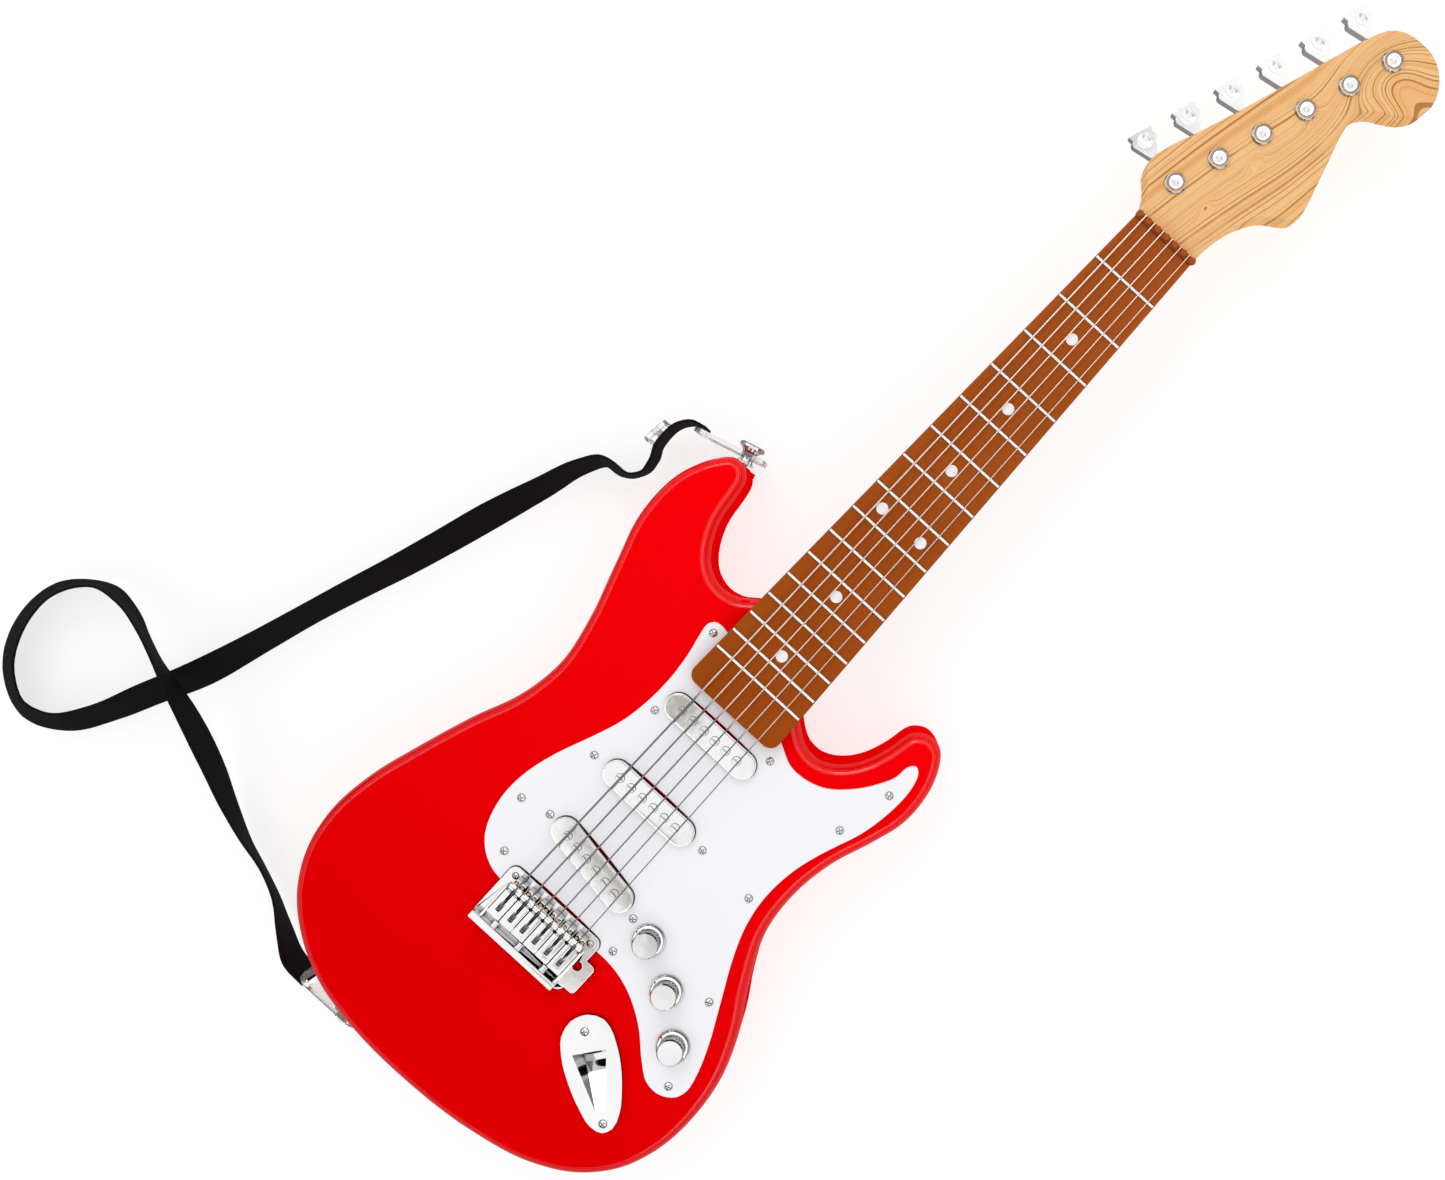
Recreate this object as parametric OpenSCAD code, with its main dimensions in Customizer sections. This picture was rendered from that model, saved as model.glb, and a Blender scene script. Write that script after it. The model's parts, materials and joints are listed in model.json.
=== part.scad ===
// Toy electric guitar with a webbing strap, lying on its back.
// Frame: +Y runs along the neck to the headstock, +X is the thin-string side, +Z is out of the face.
// The origin is on the flat back, on the neck's centre line, below the bridge saddles.

/* [Body] */
// Thickness of the body, back to face
body_t = 38; // [34:1:46]
// Height of the seam between the two moulded shells
seam_z = 19; // [17:1:21]
// Wall thickness of the moulded shells
wall = 2.6; // [2:0.1:3]
// How far the rounded face edge reaches in
edge_in = 5.5; // [3:0.5:6]
// How far the rounded face edge reaches down
edge_down = 7; // [3:0.5:9]
// How far the rounded back edge reaches in
back_edge = 4; // [2:0.5:5]
// Thickness of the pickguard
guard_t = 1.6; // [1:0.1:2]

/* [Neck] */
// Width of the fretboard at the nut
nut_w = 33; // [30:0.5:36]
// Width of the fretboard at its body end
heel_w = 51; // [46:0.5:54]
// Where the fretboard starts, over the body
board_y0 = 123.5; // [122:0.5:126]
// Where the fretboard ends, at the nut
board_y1 = 408.5; // [404:0.5:412]
// Height of the fretboard above the body's face
board_rise = 8; // [7:0.5:9]
// Thickness of the fretboard
board_t = 4; // [3.5:0.5:4.5]
// Depth of the neck behind the fretboard at the nut
neck_depth = 15; // [13:1:16]
// Number of frets
fret_count = 16; // [12:1:16]
// Gap from the nut to the first fret
fret_gap = 25; // [24:0.1:25.5]
// Each fret gap as a share of the one before
fret_ratio = 0.9423; // [0.935:0.0001:0.945]

/* [Headstock] */
// Height of the headstock's face
head_z = 41; // [40:0.5:42]
// Thickness of the headstock's printed face plate
head_plate = 3; // [2:0.5:3]
// Thickness of the headstock's back shell
head_back = 11; // [10:0.5:13]
// Distance between neighbouring tuners
tuner_pitch = 22.3; // [21:0.1:23]
// Lean of the tuner row away from the neck's centre line
tuner_lean = 18.4; // [17:0.1:20]

/* [Bridge and strings] */
// Height of the strings over the saddles
string_z = 48; // [47.5:0.1:49]
// Distance between strings at the saddles
saddle_pitch = 7.2; // [7:0.1:7.4]
// Distance between strings at the nut
nut_pitch = 5.2; // [5:0.1:5.4]
// Diameter of the thickest string
string_d = 0.9; // [0.6:0.1:1]

/* [Pickups and knobs] */
// Length of a pickup cover
pickup_l = 51.4; // [48:0.2:53]
// Width of a pickup cover
pickup_w = 12.6; // [11:0.2:14]
// Height of a pickup cover above the pickguard
pickup_h = 3.6; // [2:0.2:4.4]
// Diameter of a knob's skirt
knob_d = 15.2; // [14:0.2:16]
// Height of a knob above the pickguard
knob_h = 9.2; // [8:0.2:11]

/* [Strap] */
// Width of the webbing
web_w = 20; // [18:1:22]
// Thickness of the webbing
web_t = 1.4; // [1:0.1:2]

/* [Hidden] */
$fn = 48;
eps = 0.01;
gap = 0.2;
guard_z = body_t + guard_t;
board_z = body_t + board_rise;
heel_z = 21;
neck_end = board_y1 + 3;
head_low = head_z - head_plate - head_back;
pickup_top = guard_z + pickup_h;
base_z = body_t + 3;
bridge_x = 0.9;
nut_x = 0.3;
peg_z = head_low + 5.5;
button_z = seam_z - 5;

// Outline of the body, counter-clockwise from the tip of the long horn
BODY = [
    [-77, 209.4], [-83, 203.6], [-87.6, 195.6], [-91, 186], [-92.3, 174.5], [-91.4, 160.7],
    [-84.7, 137.6], [-76.2, 110], [-72.6, 88], [-75.8, 66], [-85.6, 41.6], [-94.6, 15.5],
    [-102, -10], [-104.4, -31], [-100.5, -53], [-90, -71], [-75.4, -83.6], [-56, -93.4],
    [-32.8, -98.3], [4, -100], [41, -96.8], [71, -89], [90, -78], [103, -62.8],
    [110, -44], [111.6, -22], [109, -3], [101.3, 17], [88.5, 38.8], [79, 60],
    [77, 81], [80.5, 103.5], [87.4, 122.8], [91.7, 138], [91.6, 152.6], [87.8, 166],
    [81, 174.8], [73.5, 176], [67, 171.5], [64.2, 161.2], [60, 149], [52, 138.5],
    [43, 134], [35.5, 134.6], [29.5, 138], [24, 142.6], [16, 148.2], [7, 153.6],
    [-3, 161.6], [-12, 168.6], [-20, 171.4], [-26.6, 168.4], [-32.6, 164], [-40.4, 162],
    [-50, 164.8], [-58.3, 174.3], [-62.8, 186], [-64.4, 198.5], [-66, 205], [-70.6, 209.4]];

// Outline of the pickguard; the neck and the bridge are cut out of it
GUARD = [
    [-28.6, 149.6], [-32.4, 149], [-34.5, 146.2], [-34.2, 141.6], [-32.4, 133], [-30.8, 121], [-31, 103],
    [-33.3, 89], [-39, 73], [-45, 58.5], [-49.4, 43.7], [-50.7, 32.3], [-49.3, 20],
    [-44, 8], [-36.7, 1.7], [-30, -0.8], [-20, -1.4], [0, 0], [20, 3.2],
    [30, 3.8], [40, 3], [52, -0.8], [64, -8], [77.7, -20.2], [83, -24],
    [88.5, -25.2], [94, -24], [98.5, -20.4], [100.2, -15], [99, -8], [94.5, 4.5],
    [84.6, 24.4], [75, 43.5], [70.5, 55], [67.8, 68], [67.6, 80], [69.8, 94],
    [74.5, 108.5], [80, 123], [83, 139], [83.4, 149], [82.4, 156], [80.6, 160.3],
    [78, 161.9], [75.8, 160], [74.4, 152.5], [69, 142], [61.8, 133.2], [54, 127], [45, 124],
    [36, 124], [28, 127.7], [15, 134], [0, 140], [-18, 147]];

// Outline of the headstock; its lower end is cut square at the nut
HEAD = [
    [-16.5, 400], [-16.8, 411], [-18, 418], [-21.8, 424], [-26.5, 428.5], [-28.7, 434],
    [-27.2, 441], [-21.3, 456.5], [-13, 479.5], [-4.2, 506.2], [1.8, 525], [7.2, 540.4],
    [11.3, 548.6], [17.3, 552.8], [25, 554.2], [33, 553.6], [40.5, 549.8], [46, 543.5],
    [48.6, 536], [47.3, 529.8], [43, 524.3], [37, 520.5], [31, 517], [27.4, 512.5],
    [26.3, 507], [27, 500], [30, 490], [34.5, 475], [37.8, 463.5], [38.4, 459],
    [36.2, 455.4], [31.5, 452.4], [26.6, 448.5], [22.7, 442.8], [19.3, 435], [17.2, 425.5],
    [16.6, 418], [16.5, 411], [16.5, 400], [0, 396]];

// Outline of the jack plate
JACK = [
    [50.6, -16.2], [44, -19.6], [40.5, -27], [42, -34.6], [48.3, -41.5], [58.5, -48.2],
    [70, -53.4], [79, -55.8], [84.6, -54.4], [86.8, -50], [84.8, -43], [78, -33.8],
    [70, -25.8], [62, -20.1], [56, -17]];

// Strap path on the ground: x, y, height of its middle and lean from flat
STRAP = [
    [-97.3, 210.4, 17, 90], [-104.2, 208.3, 17, 90], [-108.6, 202.5, 16.8, 90], [-109.7, 196, 16.4, 90],
    [-109.3, 189.5, 15.4, 89], [-106.9, 183, 14, 89], [-106.6, 176, 12.4, 92], [-110.1, 170.7, 11.8, 90],
    [-117, 168, 11, 78], [-124.6, 166.4, 10.6, 80], [-130.4, 158.2, 10.2, 78], [-137.6, 138.2, 10, 70],
    [-146.8, 112, 9.8, 62], [-154.4, 88.2, 9.8, 63], [-162, 65.6, 9.8, 65], [-171, 41.2, 9.8, 68],
    [-179.2, 18, 9.8, 70], [-188.8, -10.8, 9.6, 66], [-198.8, -38.6, 9.2, 58], [-209, -59.8, 9.6, 62],
    [-219, -81, 10, 66], [-232, -98.6, 10, 60], [-249.2, -105.2, 9.6, 48], [-266.6, -95.9, 9.6, 44],
    [-276.6, -74.6, 10, 48], [-275.4, -55.6, 10.6, 60], [-267.4, -43.5, 12, 78], [-256, -34.9, 15, 92],
    [-240.5, -32.6, 19.6, 102], [-224.6, -34.4, 25, 109], [-211, -37.6, 28.2, 108], [-197.4, -42.4, 28, 99],
    [-181, -50, 24, 92], [-161.4, -61.2, 17.6, 92], [-143.4, -72.2, 13, 99], [-127.6, -79.5, 11.4, 107],
    [-113.6, -83.8, 11.2, 112], [-99.4, -89.4, 12, 109], [-86, -97.2, 13.4, 98], [-74, -103.7, 14, 90],
    [-61, -104.9, 14, 90]];

GUARD_SCREWS = [
    [-29.9, 144.7], [-43.5, 32], [-33.1, 9.3], [33.3, 8.9], [62.3, 67.5], [80.6, 21.2],
    [92.6, -19], [77.7, 144.1], [71.8, 117.6]];
PICKUP_SCREWS = [[-25.8, 101.4], [27.8, 119.4], [-32.3, 68.2], [32.4, 69.4], [-29, 35.2], [30.1, 25.8]];
// Each pickup: middle point and lean
PICKUPS = [[0.4, 110, 0], [0.3, 69.4, 0], [0.3, 32, -8.9]];
KNOBS = [[41.8, 23.3], [63.1, 12], [81.9, -4.2]];
JACK_SCREWS = [[48.3, -26], [82.2, -51]];
BRIDGE_SCREWS = [[-21.7, 5], [23.5, 5]];
JACK_DEEP = 13;
JACK_LEAN = 22;
JACK_MID = 6.4;
BODY_SCREWS = [
    [-78, 184], [-62, 100], [-84, 10], [-88, -50], [-30, -86], [40, -84], [93, -54], [92, 10],
    [66, 100], [78, 158]];
NECK_SCREWS = [[-14, 134], [14, 134], [-14, 150], [12, 142]];
HEAD_SCREWS = [[-11.7, 421], [11.7, 421], [30, 461], [39, 538]];
BATTERY = [0, 40];
BATTERY_BOX = [50, 58, 18.4];
SPEAKER = [-50, -34];
SPEAKER_D = 50;
SWITCH = [52, 56];
BOARD = [28, -52];
HORN_BUTTON = [-74.4, 209.9, button_z];
TAIL_BUTTON = [-38, -98.1, button_z];
HORN_TURN = 15.6;

// Unit direction of a vector
function unit(v) = v / norm(v);

// Outward slope of a smooth curve at point b, from its neighbours a and c
function slope(a, b, c) =
    let (d0 = norm([b.x - a.x, b.y - a.y]), d1 = norm([c.x - b.x, c.y - b.y]))
    ((b - a) * d1 / d0 + (c - b) * d0 / d1) / (d0 + d1);

// Point at share t between b and c of a smooth curve that also passes near a and d
function between(a, b, c, d, t) =
    let (l = norm([c.x - b.x, c.y - b.y]), m0 = slope(a, b, c) * l, m1 = slope(b, c, d) * l)
    b * (1 + 2 * t) * pow(1 - t, 2) + m0 * t * pow(1 - t, 2)
    + c * pow(t, 2) * (3 - 2 * t) + m1 * pow(t, 2) * (t - 1);

// Closed smooth curve through the points p, with a point about every step
function smooth(p, step) = let (n = len(p)) [
    for (i = [0 : n - 1])
        let (k = max(2, ceil(norm(p[(i + 1) % n] - p[i]) / step)))
        for (j = [0 : k - 1]) between(p[(i + n - 1) % n], p[i], p[(i + 1) % n], p[(i + 2) % n], j / k)];

// Open smooth curve through the points p, with k pieces between neighbours
function smooth_open(p, k) = let (n = len(p) - 1) concat([
    for (i = [0 : n - 1])
        let (a = i > 0 ? p[i - 1] : 2 * p[0] - p[1], d = i < n - 1 ? p[i + 2] : 2 * p[n] - p[n - 1])
        for (j = [0 : k - 1]) between(a, p[i], p[i + 1], d, j / k)], [p[n]]);

// The counter-clockwise loop p moved in by d
function inset(p, d) = let (n = len(p)) [
    for (i = [0 : n - 1])
        let (t = unit(p[(i + 1) % n] - p[(i + n - 1) % n]))
        p[i] - d * [t.y, -t.x]];

// The flat loop p lifted to height z
function lift(p, z) = [for (q = p) [q.x, q.y, z]];

// Arc about c
function arc(c, r, a0, a1, n = 8) = [for (i = [0 : n]) let (a = a0 + (a1 - a0) * i / n) c + r * [cos(a), sin(a)]];

// Rectangle with round corners, centred
function round_rect(w, l, r) = concat(
    arc([w / 2 - r, l / 2 - r], r, 0, 90), arc([r - w / 2, l / 2 - r], r, 90, 180),
    arc([r - w / 2, r - l / 2], r, 180, 270), arc([w / 2 - r, r - l / 2], r, 270, 360));

// Slot shape with round ends, centred
function stadium(l, w) = concat(
    arc([(l - w) / 2, 0], w / 2, -90, 90, 16), arc([(w - l) / 2, 0], w / 2, 90, 270, 16));

// Half the fretboard's width at a place along the neck
function half_board(y) = (heel_w + (nut_w - heel_w) * (y - board_y0) / (board_y1 - board_y0)) / 2;

// Fret distance from the nut, by a constant ratio between neighbouring gaps
function fret_at(i) = fret_gap * (1 - pow(fret_ratio, i)) / (1 - fret_ratio);
function fret_y(i) = board_y1 - fret_at(i);

// String places at the nut and over the saddles
function nut_at(i) = nut_x + nut_pitch * (i - 2.5);
function saddle_at(i) = bridge_x + saddle_pitch * (i - 2.5);

// Tuner places, counted from the nut
function tuner_at(i) = [-13.3, 433] + i * tuner_pitch * [sin(tuner_lean), cos(tuner_lean)];

BODY_LOOP = smooth(BODY, 7.5);
GUARD_LOOP = smooth(GUARD, 8);
HEAD_LOOP = smooth(HEAD, 8);
JACK_LOOP = smooth(JACK, 4);

// Solid between rings of equal length, stacked upward
module loft(rings) {
    n = len(rings[0]);
    k = len(rings);
    bottom = [for (i = [0 : n - 1]) i];
    top = [for (i = [0 : n - 1]) k * n - 1 - i];
    sides = [
        for (j = [0 : k - 2]) for (i = [0 : n - 1])
            let (a = j * n + i, b = j * n + (i + 1) % n)
            each [[a, a + n, b + n], [a, b + n, b]]];
    // A size of zero keeps every side as it is, and the end faces settle into clean triangles
    resize([0, 0, 0]) polyhedron(points = [for (r = rings) each r], faces = concat([bottom], sides, [top]));
}

// Plate with a given outline between two heights
module plate(outline, z0, z1) {
    translate([0, 0, z0]) linear_extrude(z1 - z0) polygon(outline);
}

// Post or hole between two heights
module post(p, d, z0, z1) {
    translate([p.x, p.y, z0]) cylinder(d = d, h = z1 - z0);
}

// Cross-head screw standing on the ground plane, head up, thread down
module screw(head_d, head_h, thread_d, length) {
    sphere_r = (head_d * head_d / 4 + head_h * head_h) / (2 * head_h);
    difference() {
        intersection() {
            translate([0, 0, head_h - sphere_r]) sphere(r = sphere_r);
            cylinder(d = head_d, h = head_h + 1);
        }
        for (a = [0, 90]) rotate(a) translate([-head_d * 0.3, -head_d * 0.07, head_h * 0.35])
            cube([head_d * 0.6, head_d * 0.14, head_h]);
    }
    translate([0, 0, -length]) cylinder(d = thread_d, h = length);
}

// Space taken by the heel of the neck in the body
module neck_pocket(play) {
    y0 = board_y0 + 4.5 - play;
    w0 = half_board(y0) - 1 + play;
    y1 = 182;
    w1 = half_board(y1) - 1 + play;
    translate([0, 0, heel_z - play]) linear_extrude(body_t)
        polygon([[-w0, y0], [w0, y0], [w1, y1], [-w1, y1]]);
}

// Round edge of the body's face as a list of insets and heights
function face_edge() = [for (a = [0 : 18 : 90]) [edge_in * (1 - cos(a)), body_t - edge_down * (1 - sin(a))]];
function back_edge_rings() = [for (a = [90 : -22.5 : 0]) [back_edge * (1 - cos(a)), back_edge * (1 - sin(a))]];

// Frame of the jack recess: x along its floor, y across
module at_jack() {
    translate([56, -31.4, guard_z + 0.6]) rotate(-36.9) children();
}

// Scoop of the jack plate, grown by play
module scoop(play) {
    reach = 27 + play;
    low = -JACK_DEEP - play;
    foot = JACK_DEEP * tan(JACK_LEAN);
    intersection() {
        rotate([90, 0, 0]) translate([0, 0, -15]) linear_extrude(30)
            polygon([[-play, 2], [-play, 0], [foot - play, low], [foot + 3, low], [reach, 0], [reach, 2]]);
        translate([0, 0, -20]) linear_extrude(30) scoop_sides(play);
    }
}

// Plan of the scoop, narrowing toward its far end
module scoop_sides(play) {
    reach = 27 + play;
    polygon([[-1 - play, -8 - play], [-1 - play, 8 + play], [reach, 2.2 + play], [reach, -2.2 - play]]);
}

module body_front_shell() color("#e40814") {
    difference() {
        union() {
            difference() {
                loft(concat([lift(BODY_LOOP, seam_z)], [for (e = face_edge()) lift(inset(BODY_LOOP, e[0]), e[1])]));
                plate(inset(BODY_LOOP, wall), seam_z - 1, body_t - wall);
            }
            for (p = BODY_SCREWS) post(p, 7.5, seam_z, body_t - wall + 0.1);
        }
        for (p = BODY_SCREWS) post(p, 2.7, seam_z - 1, 33);
        neck_pocket(gap);
        for (p = GUARD_SCREWS) post(p, 2.1, body_t - wall - 1, body_t + 1);
        for (p = PICKUP_SCREWS) post(p, 2.1, body_t - wall - 1, body_t + 1);
        for (p = KNOBS) post(p, 7, body_t - wall - 1, body_t + 1);
        for (p = JACK_SCREWS) post(p, 2.1, body_t - wall - 1, body_t + 1);
        for (p = BRIDGE_SCREWS) post(p, 2.1, body_t - wall - 1, body_t + 1);
        at_jack() translate([0, 0, -8]) linear_extrude(12) scoop_sides(1.6);
        at_jack() translate([-7, -9.6, -8]) cube([9, 19.2, 12]);
    }
}

module body_back_shell() color("#d80710") {
    box = BATTERY_BOX;
    difference() {
        union() {
            difference() {
                loft(concat([for (e = back_edge_rings()) lift(inset(BODY_LOOP, e[0]), e[1])], [lift(BODY_LOOP, seam_z)]));
                plate(inset(BODY_LOOP, wall), wall, seam_z + 1);
            }
            for (p = BODY_SCREWS) post(p, 8.5, wall - 0.1, seam_z);
            at_horn() translate([-5, -4.5, -11]) cube([10, 9, 9]);
            at_tail() translate([-5, -4.5, -11]) cube([10, 9, 9.4]);
            for (p = NECK_SCREWS) post(p, 8.5, wall - 0.1, heel_z - 0.1);
            translate([BATTERY.x - box.x / 2 - 2.4, BATTERY.y - box.y / 2 - 2.4, wall - 0.1])
                cube([box.x + 4.8, box.y + 4.8, box.z]);
            translate([BATTERY.x - box.x / 2 - 2.4, BATTERY.y + box.y / 2, wall - 0.1]) cube([box.x + 4.8, 13.5, 2]);
            post(BATTERY + [0, box.y / 2 + 6], 8, wall - 0.1, 10);
            difference() {
                post(SPEAKER, SPEAKER_D + 5, wall - 0.1, 7);
                post(SPEAKER, SPEAKER_D + 0.4, wall - 0.2, 8);
            }
            for (x = [-24, 24]) for (y = [-16, 16]) post(BOARD + [x, y], 5, wall - 0.1, 12);
        }
        for (p = BODY_SCREWS) post(p, 6.4, -1, 9);
        for (p = BODY_SCREWS) post(p, 3, -1, seam_z + 1);
        for (p = NECK_SCREWS) post(p, 6.4, -1, 9);
        for (p = NECK_SCREWS) post(p, 3, -1, heel_z + 1);
        translate([BATTERY.x - box.x / 2, BATTERY.y - box.y / 2, -1]) cube([box.x, box.y, box.z]);
        translate([BATTERY.x, BATTERY.y + 4, -1]) linear_extrude(3.2) polygon(round_rect(box.x + 2.4, box.y + 12, 4));
        post(BATTERY + [0, box.y / 2 + 6], 2.9, 0, 9);
        for (r = [0 : 4]) for (k = [0 : max(0, 6 * r - 1)])
            let (a = r == 0 ? 0 : 60 * k / r)
            post(SPEAKER + 4.4 * r * [cos(a), sin(a)], 2.4, -1, wall + 1);
        translate([SWITCH.x - 6, SWITCH.y - 2.6, -1]) cube([12, 5.2, wall + 2]);
        at_horn() translate([0, 0, -10]) cylinder(d = 3.3, h = 16);
        at_tail() translate([0, 0, -10]) cylinder(d = 3.3, h = 16);
    }
}

module pickguard() color("#f6f5fa") {
    heel_y = board_y0 + 4.2;
    difference() {
        plate(GUARD_LOOP, body_t, guard_z);
        translate([0, 0, body_t - 1]) linear_extrude(4)
            polygon([for (q = [[-1, heel_y], [1, heel_y], [1, 190], [-1, 190]])
                [q.x * (half_board(q.y) - 0.6), q.y]]);
        for (p = PICKUPS) translate([p.x, p.y, body_t - 1]) rotate(p[2])
            linear_extrude(4) polygon(stadium(pickup_l + 2 * gap, pickup_w + 2 * gap));
        translate([bridge_x, -6, body_t - 1]) linear_extrude(4) polygon(round_rect(53.8, 30, 3.8));
        for (p = KNOBS) post(p, 7, body_t - 1, guard_z + 1);
        for (p = concat(GUARD_SCREWS, PICKUP_SCREWS)) post(p, 2.1, body_t - 1, guard_z + 1);
    }
}

module pickguard_screws() color("#d9dade") {
    for (p = GUARD_SCREWS) translate([p.x, p.y, guard_z]) rotate(p.x * 7) screw(4.1, 1.1, 2, 5);
}

module pickup_screws() color("#d9dade") {
    for (p = PICKUP_SCREWS) translate([p.x, p.y, guard_z]) rotate(p.y * 5) screw(4.1, 1.1, 2, 5);
}

// Half-round cross-section of the neck, hanging below the fretboard
module neck_slice(y, w, depth) {
    translate([0, y, board_z - board_t]) rotate([90, 0, 0]) linear_extrude(0.1)
        polygon([for (i = [0 : 20]) let (a = 180 + 9 * i) [w * cos(a), depth * sin(a)]]);
}

module neck_back() color("#a5501f") {
    y0 = 172;
    top = board_z - board_t;
    difference() {
        union() {
            hull() {
                neck_slice(y0, half_board(y0) - 1, neck_depth + 6);
                neck_slice(neck_end, half_board(board_y1) - 0.3, neck_depth);
            }
            difference() {
                neck_pocket(0);
                translate([-40, y0 + 4, heel_z - 1]) cube([80, 40, 40]);
                translate([-40, 100, top]) cube([80, 100, 40]);
            }
        }
        hull() {
            neck_slice(y0 + 10, half_board(y0) - 4, neck_depth + 2.6);
            neck_slice(board_y1 - 3, half_board(board_y1) - 3.5, neck_depth - 3);
        }
        translate([-14, board_y0 + 8, top - 6]) cube([28, 40, 7]);
        for (p = NECK_SCREWS) post(p, 2.7, heel_z - 1, 34);
    }
    translate([-8, board_y1 - 6, top - 11.5]) cube([16, 26, 6]);
}

module fretboard() color("#9a4a1d") {
    r = 5;
    w = heel_w / 2;
    plate(concat(
        arc([r - w, board_y0 + r], r, 180, 270), arc([w - r, board_y0 + r], r, 270, 360),
        [[nut_w / 2, board_y1], [-nut_w / 2, board_y1]]), board_z - board_t, board_z);
}

module frets() color("#dfe0e4") {
    for (i = [1 : fret_count]) {
        w = half_board(fret_y(i)) - 0.4;
        translate([-w, fret_y(i), board_z]) rotate([90, 0, 90]) linear_extrude(2 * w)
            intersection() {
                circle(d = 1.7);
                translate([-2, 0]) square([4, 2]);
            }
    }
}

module fret_markers() color("#f4f4f2") {
    for (i = [3, 5, 7, 9, 12, 15]) {
        y = (fret_y(i) + fret_y(i - 1)) / 2;
        offsets = i == 9 ? [-11.4, 11.4] : [0];
        for (x = offsets) post([x, y], 5.4, board_z, board_z + 0.3);
    }
}

module nut() color("#ae5b2f") {
    translate([-nut_w / 2, board_y1, board_z - board_t]) cube([nut_w, 3, board_t + 0.9]);
    for (i = [0 : 6]) translate([nut_at(i) - nut_pitch / 2, board_y1 + 1.5, board_z + 0.4])
        cylinder(d1 = 3.6, d2 = 2.8, h = 2.2);
}

module strings() color("#b9bbc0") {
    z_nut = board_z + 1.6;
    for (i = [0 : 5]) {
        d = string_d - 0.08 * i;
        a = [nut_at(i), board_y1 + 2.6, z_nut];
        b = [saddle_at(i), 2, string_z];
        c = [saddle_at(i), -7.4, base_z + 2.6];
        rod(a, b, d);
        rod(b, c, d - 0.04);
    }
}

// Round rod between two points
module rod(a, b, d) {
    v = b - a;
    translate(a) rotate([0, acos(v.z / norm(v)), atan2(v.y, v.x)]) cylinder(d = d, h = norm(v), $fn = 24);
}

module neck_screws() color("#8f9196") {
    for (p = NECK_SCREWS) translate([p.x, p.y, 9 - eps]) rotate([180, 0, 0]) screw(5.6, 1.6, 2.6, 22);
}

module headstock_face() color("#f1bd84") {
    difference() {
        plate(HEAD_LOOP, head_z - head_plate, head_z);
        translate([-40, 380, 0]) cube([80, neck_end + 0.1 - 380, 60]);
        for (i = [0 : 5]) post(tuner_at(i), 4, 0, head_z + 1);
        for (p = HEAD_SCREWS) post(p, 2.3, 0, head_z - 1);
    }
}

module headstock_back() color("#f1bd84") {
    top = head_z - head_plate;
    difference() {
        union() {
            difference() {
                plate(HEAD_LOOP, head_low, top);
                plate(inset(HEAD_LOOP, 2.4), head_low + 2.4, top + 1);
                translate([-40, 380, 0]) cube([80, neck_end + 0.1 - 380, 60]);
            }
            for (p = HEAD_SCREWS) post(p, 6.5, head_low + 2, top);
        }
        for (p = HEAD_SCREWS) post(p, 5, head_low - 1, head_low + 2);
        for (p = HEAD_SCREWS) post(p, 2.3, head_low - 1, top + 1);
        for (i = [0 : 5]) at_tuner(i) rotate([0, -90, 0]) translate([0, 0, 8]) cylinder(d = 4.2, h = 12);
    }
}

module headstock_screws() color("#8f9196") {
    for (p = HEAD_SCREWS) translate([p.x, p.y, head_low + 2 - eps]) rotate([180, 0, 0]) screw(4.6, 1.4, 2.2, 10.4);
}

// Frame of tuner i: -x points out of the headstock along the peg's shaft
module at_tuner(i) {
    translate([tuner_at(i).x, tuner_at(i).y, peg_z]) rotate(-tuner_lean) children();
}

module tuner_posts() color("#e6e7ea") {
    for (i = [0 : 5]) translate([tuner_at(i).x, tuner_at(i).y, head_z]) {
        rotate_extrude() polygon([
            [0, 0], [4.9, 0], [4.9, 0.7], [4.5, 1.1], [4.3, 1.1], [4.1, 2], [3.4, 2.9], [2.2, 3.5], [0, 3.8]]);
        translate([0, 0, -5]) cylinder(d = 3.9, h = 5);
    }
}

// Tuning peg: shield-shaped button on a shaft that snaps into the headstock's side
module tuner_peg(i) {
    at_tuner(i) {
        difference() {
            translate([0, 0, -2.2]) linear_extrude(4.4) polygon(concat(
                arc([-17, 0], 2, 60, -60, 6), arc([-24.6, -3.8], 2.4, -80, -150, 6), arc([-28, -4.6], 1.6, 230, 180, 4),
                arc([-28, 4.6], 1.6, 180, 130, 4), arc([-24.6, 3.8], 2.4, 150, 80, 6)));
            for (s = [-1, 1]) translate([-24.4, 0, s * 13.2]) sphere(r = 11.6, $fn = 64);
        }
        rotate([0, -90, 0]) translate([0, 0, 8.5]) cylinder(d = 3.6, h = 8);
        rotate([0, -90, 0]) translate([0, 0, 8.5]) cylinder(d = 6, h = 1.8);
    }
}

module tuner_peg_1() color("#eceded") tuner_peg(0);
module tuner_peg_2() color("#eceded") tuner_peg(1);
module tuner_peg_3() color("#eceded") tuner_peg(2);
module tuner_peg_4() color("#eceded") tuner_peg(3);
module tuner_peg_5() color("#eceded") tuner_peg(4);
module tuner_peg_6() color("#eceded") tuner_peg(5);

// Pole places along a pickup
function pole_at(i) = 6.6 * (i - 2.5) - 0.4;

module pickup_cover(p) {
    translate([p.x, p.y, 0]) rotate(p[2]) difference() {
        union() {
            plate(stadium(pickup_l, pickup_w), body_t, pickup_top - 0.6);
            plate(stadium(pickup_l - 1.2, pickup_w - 1.2), body_t, pickup_top);
        }
        for (i = [0 : 5]) post([pole_at(i), 0], 4, pickup_top - 2, pickup_top + 1);
    }
}

module pickup_cover_neck() color("#e9eaec") pickup_cover(PICKUPS[0]);
module pickup_cover_middle() color("#e9eaec") pickup_cover(PICKUPS[1]);
module pickup_cover_bridge() color("#e9eaec") pickup_cover(PICKUPS[2]);

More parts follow.
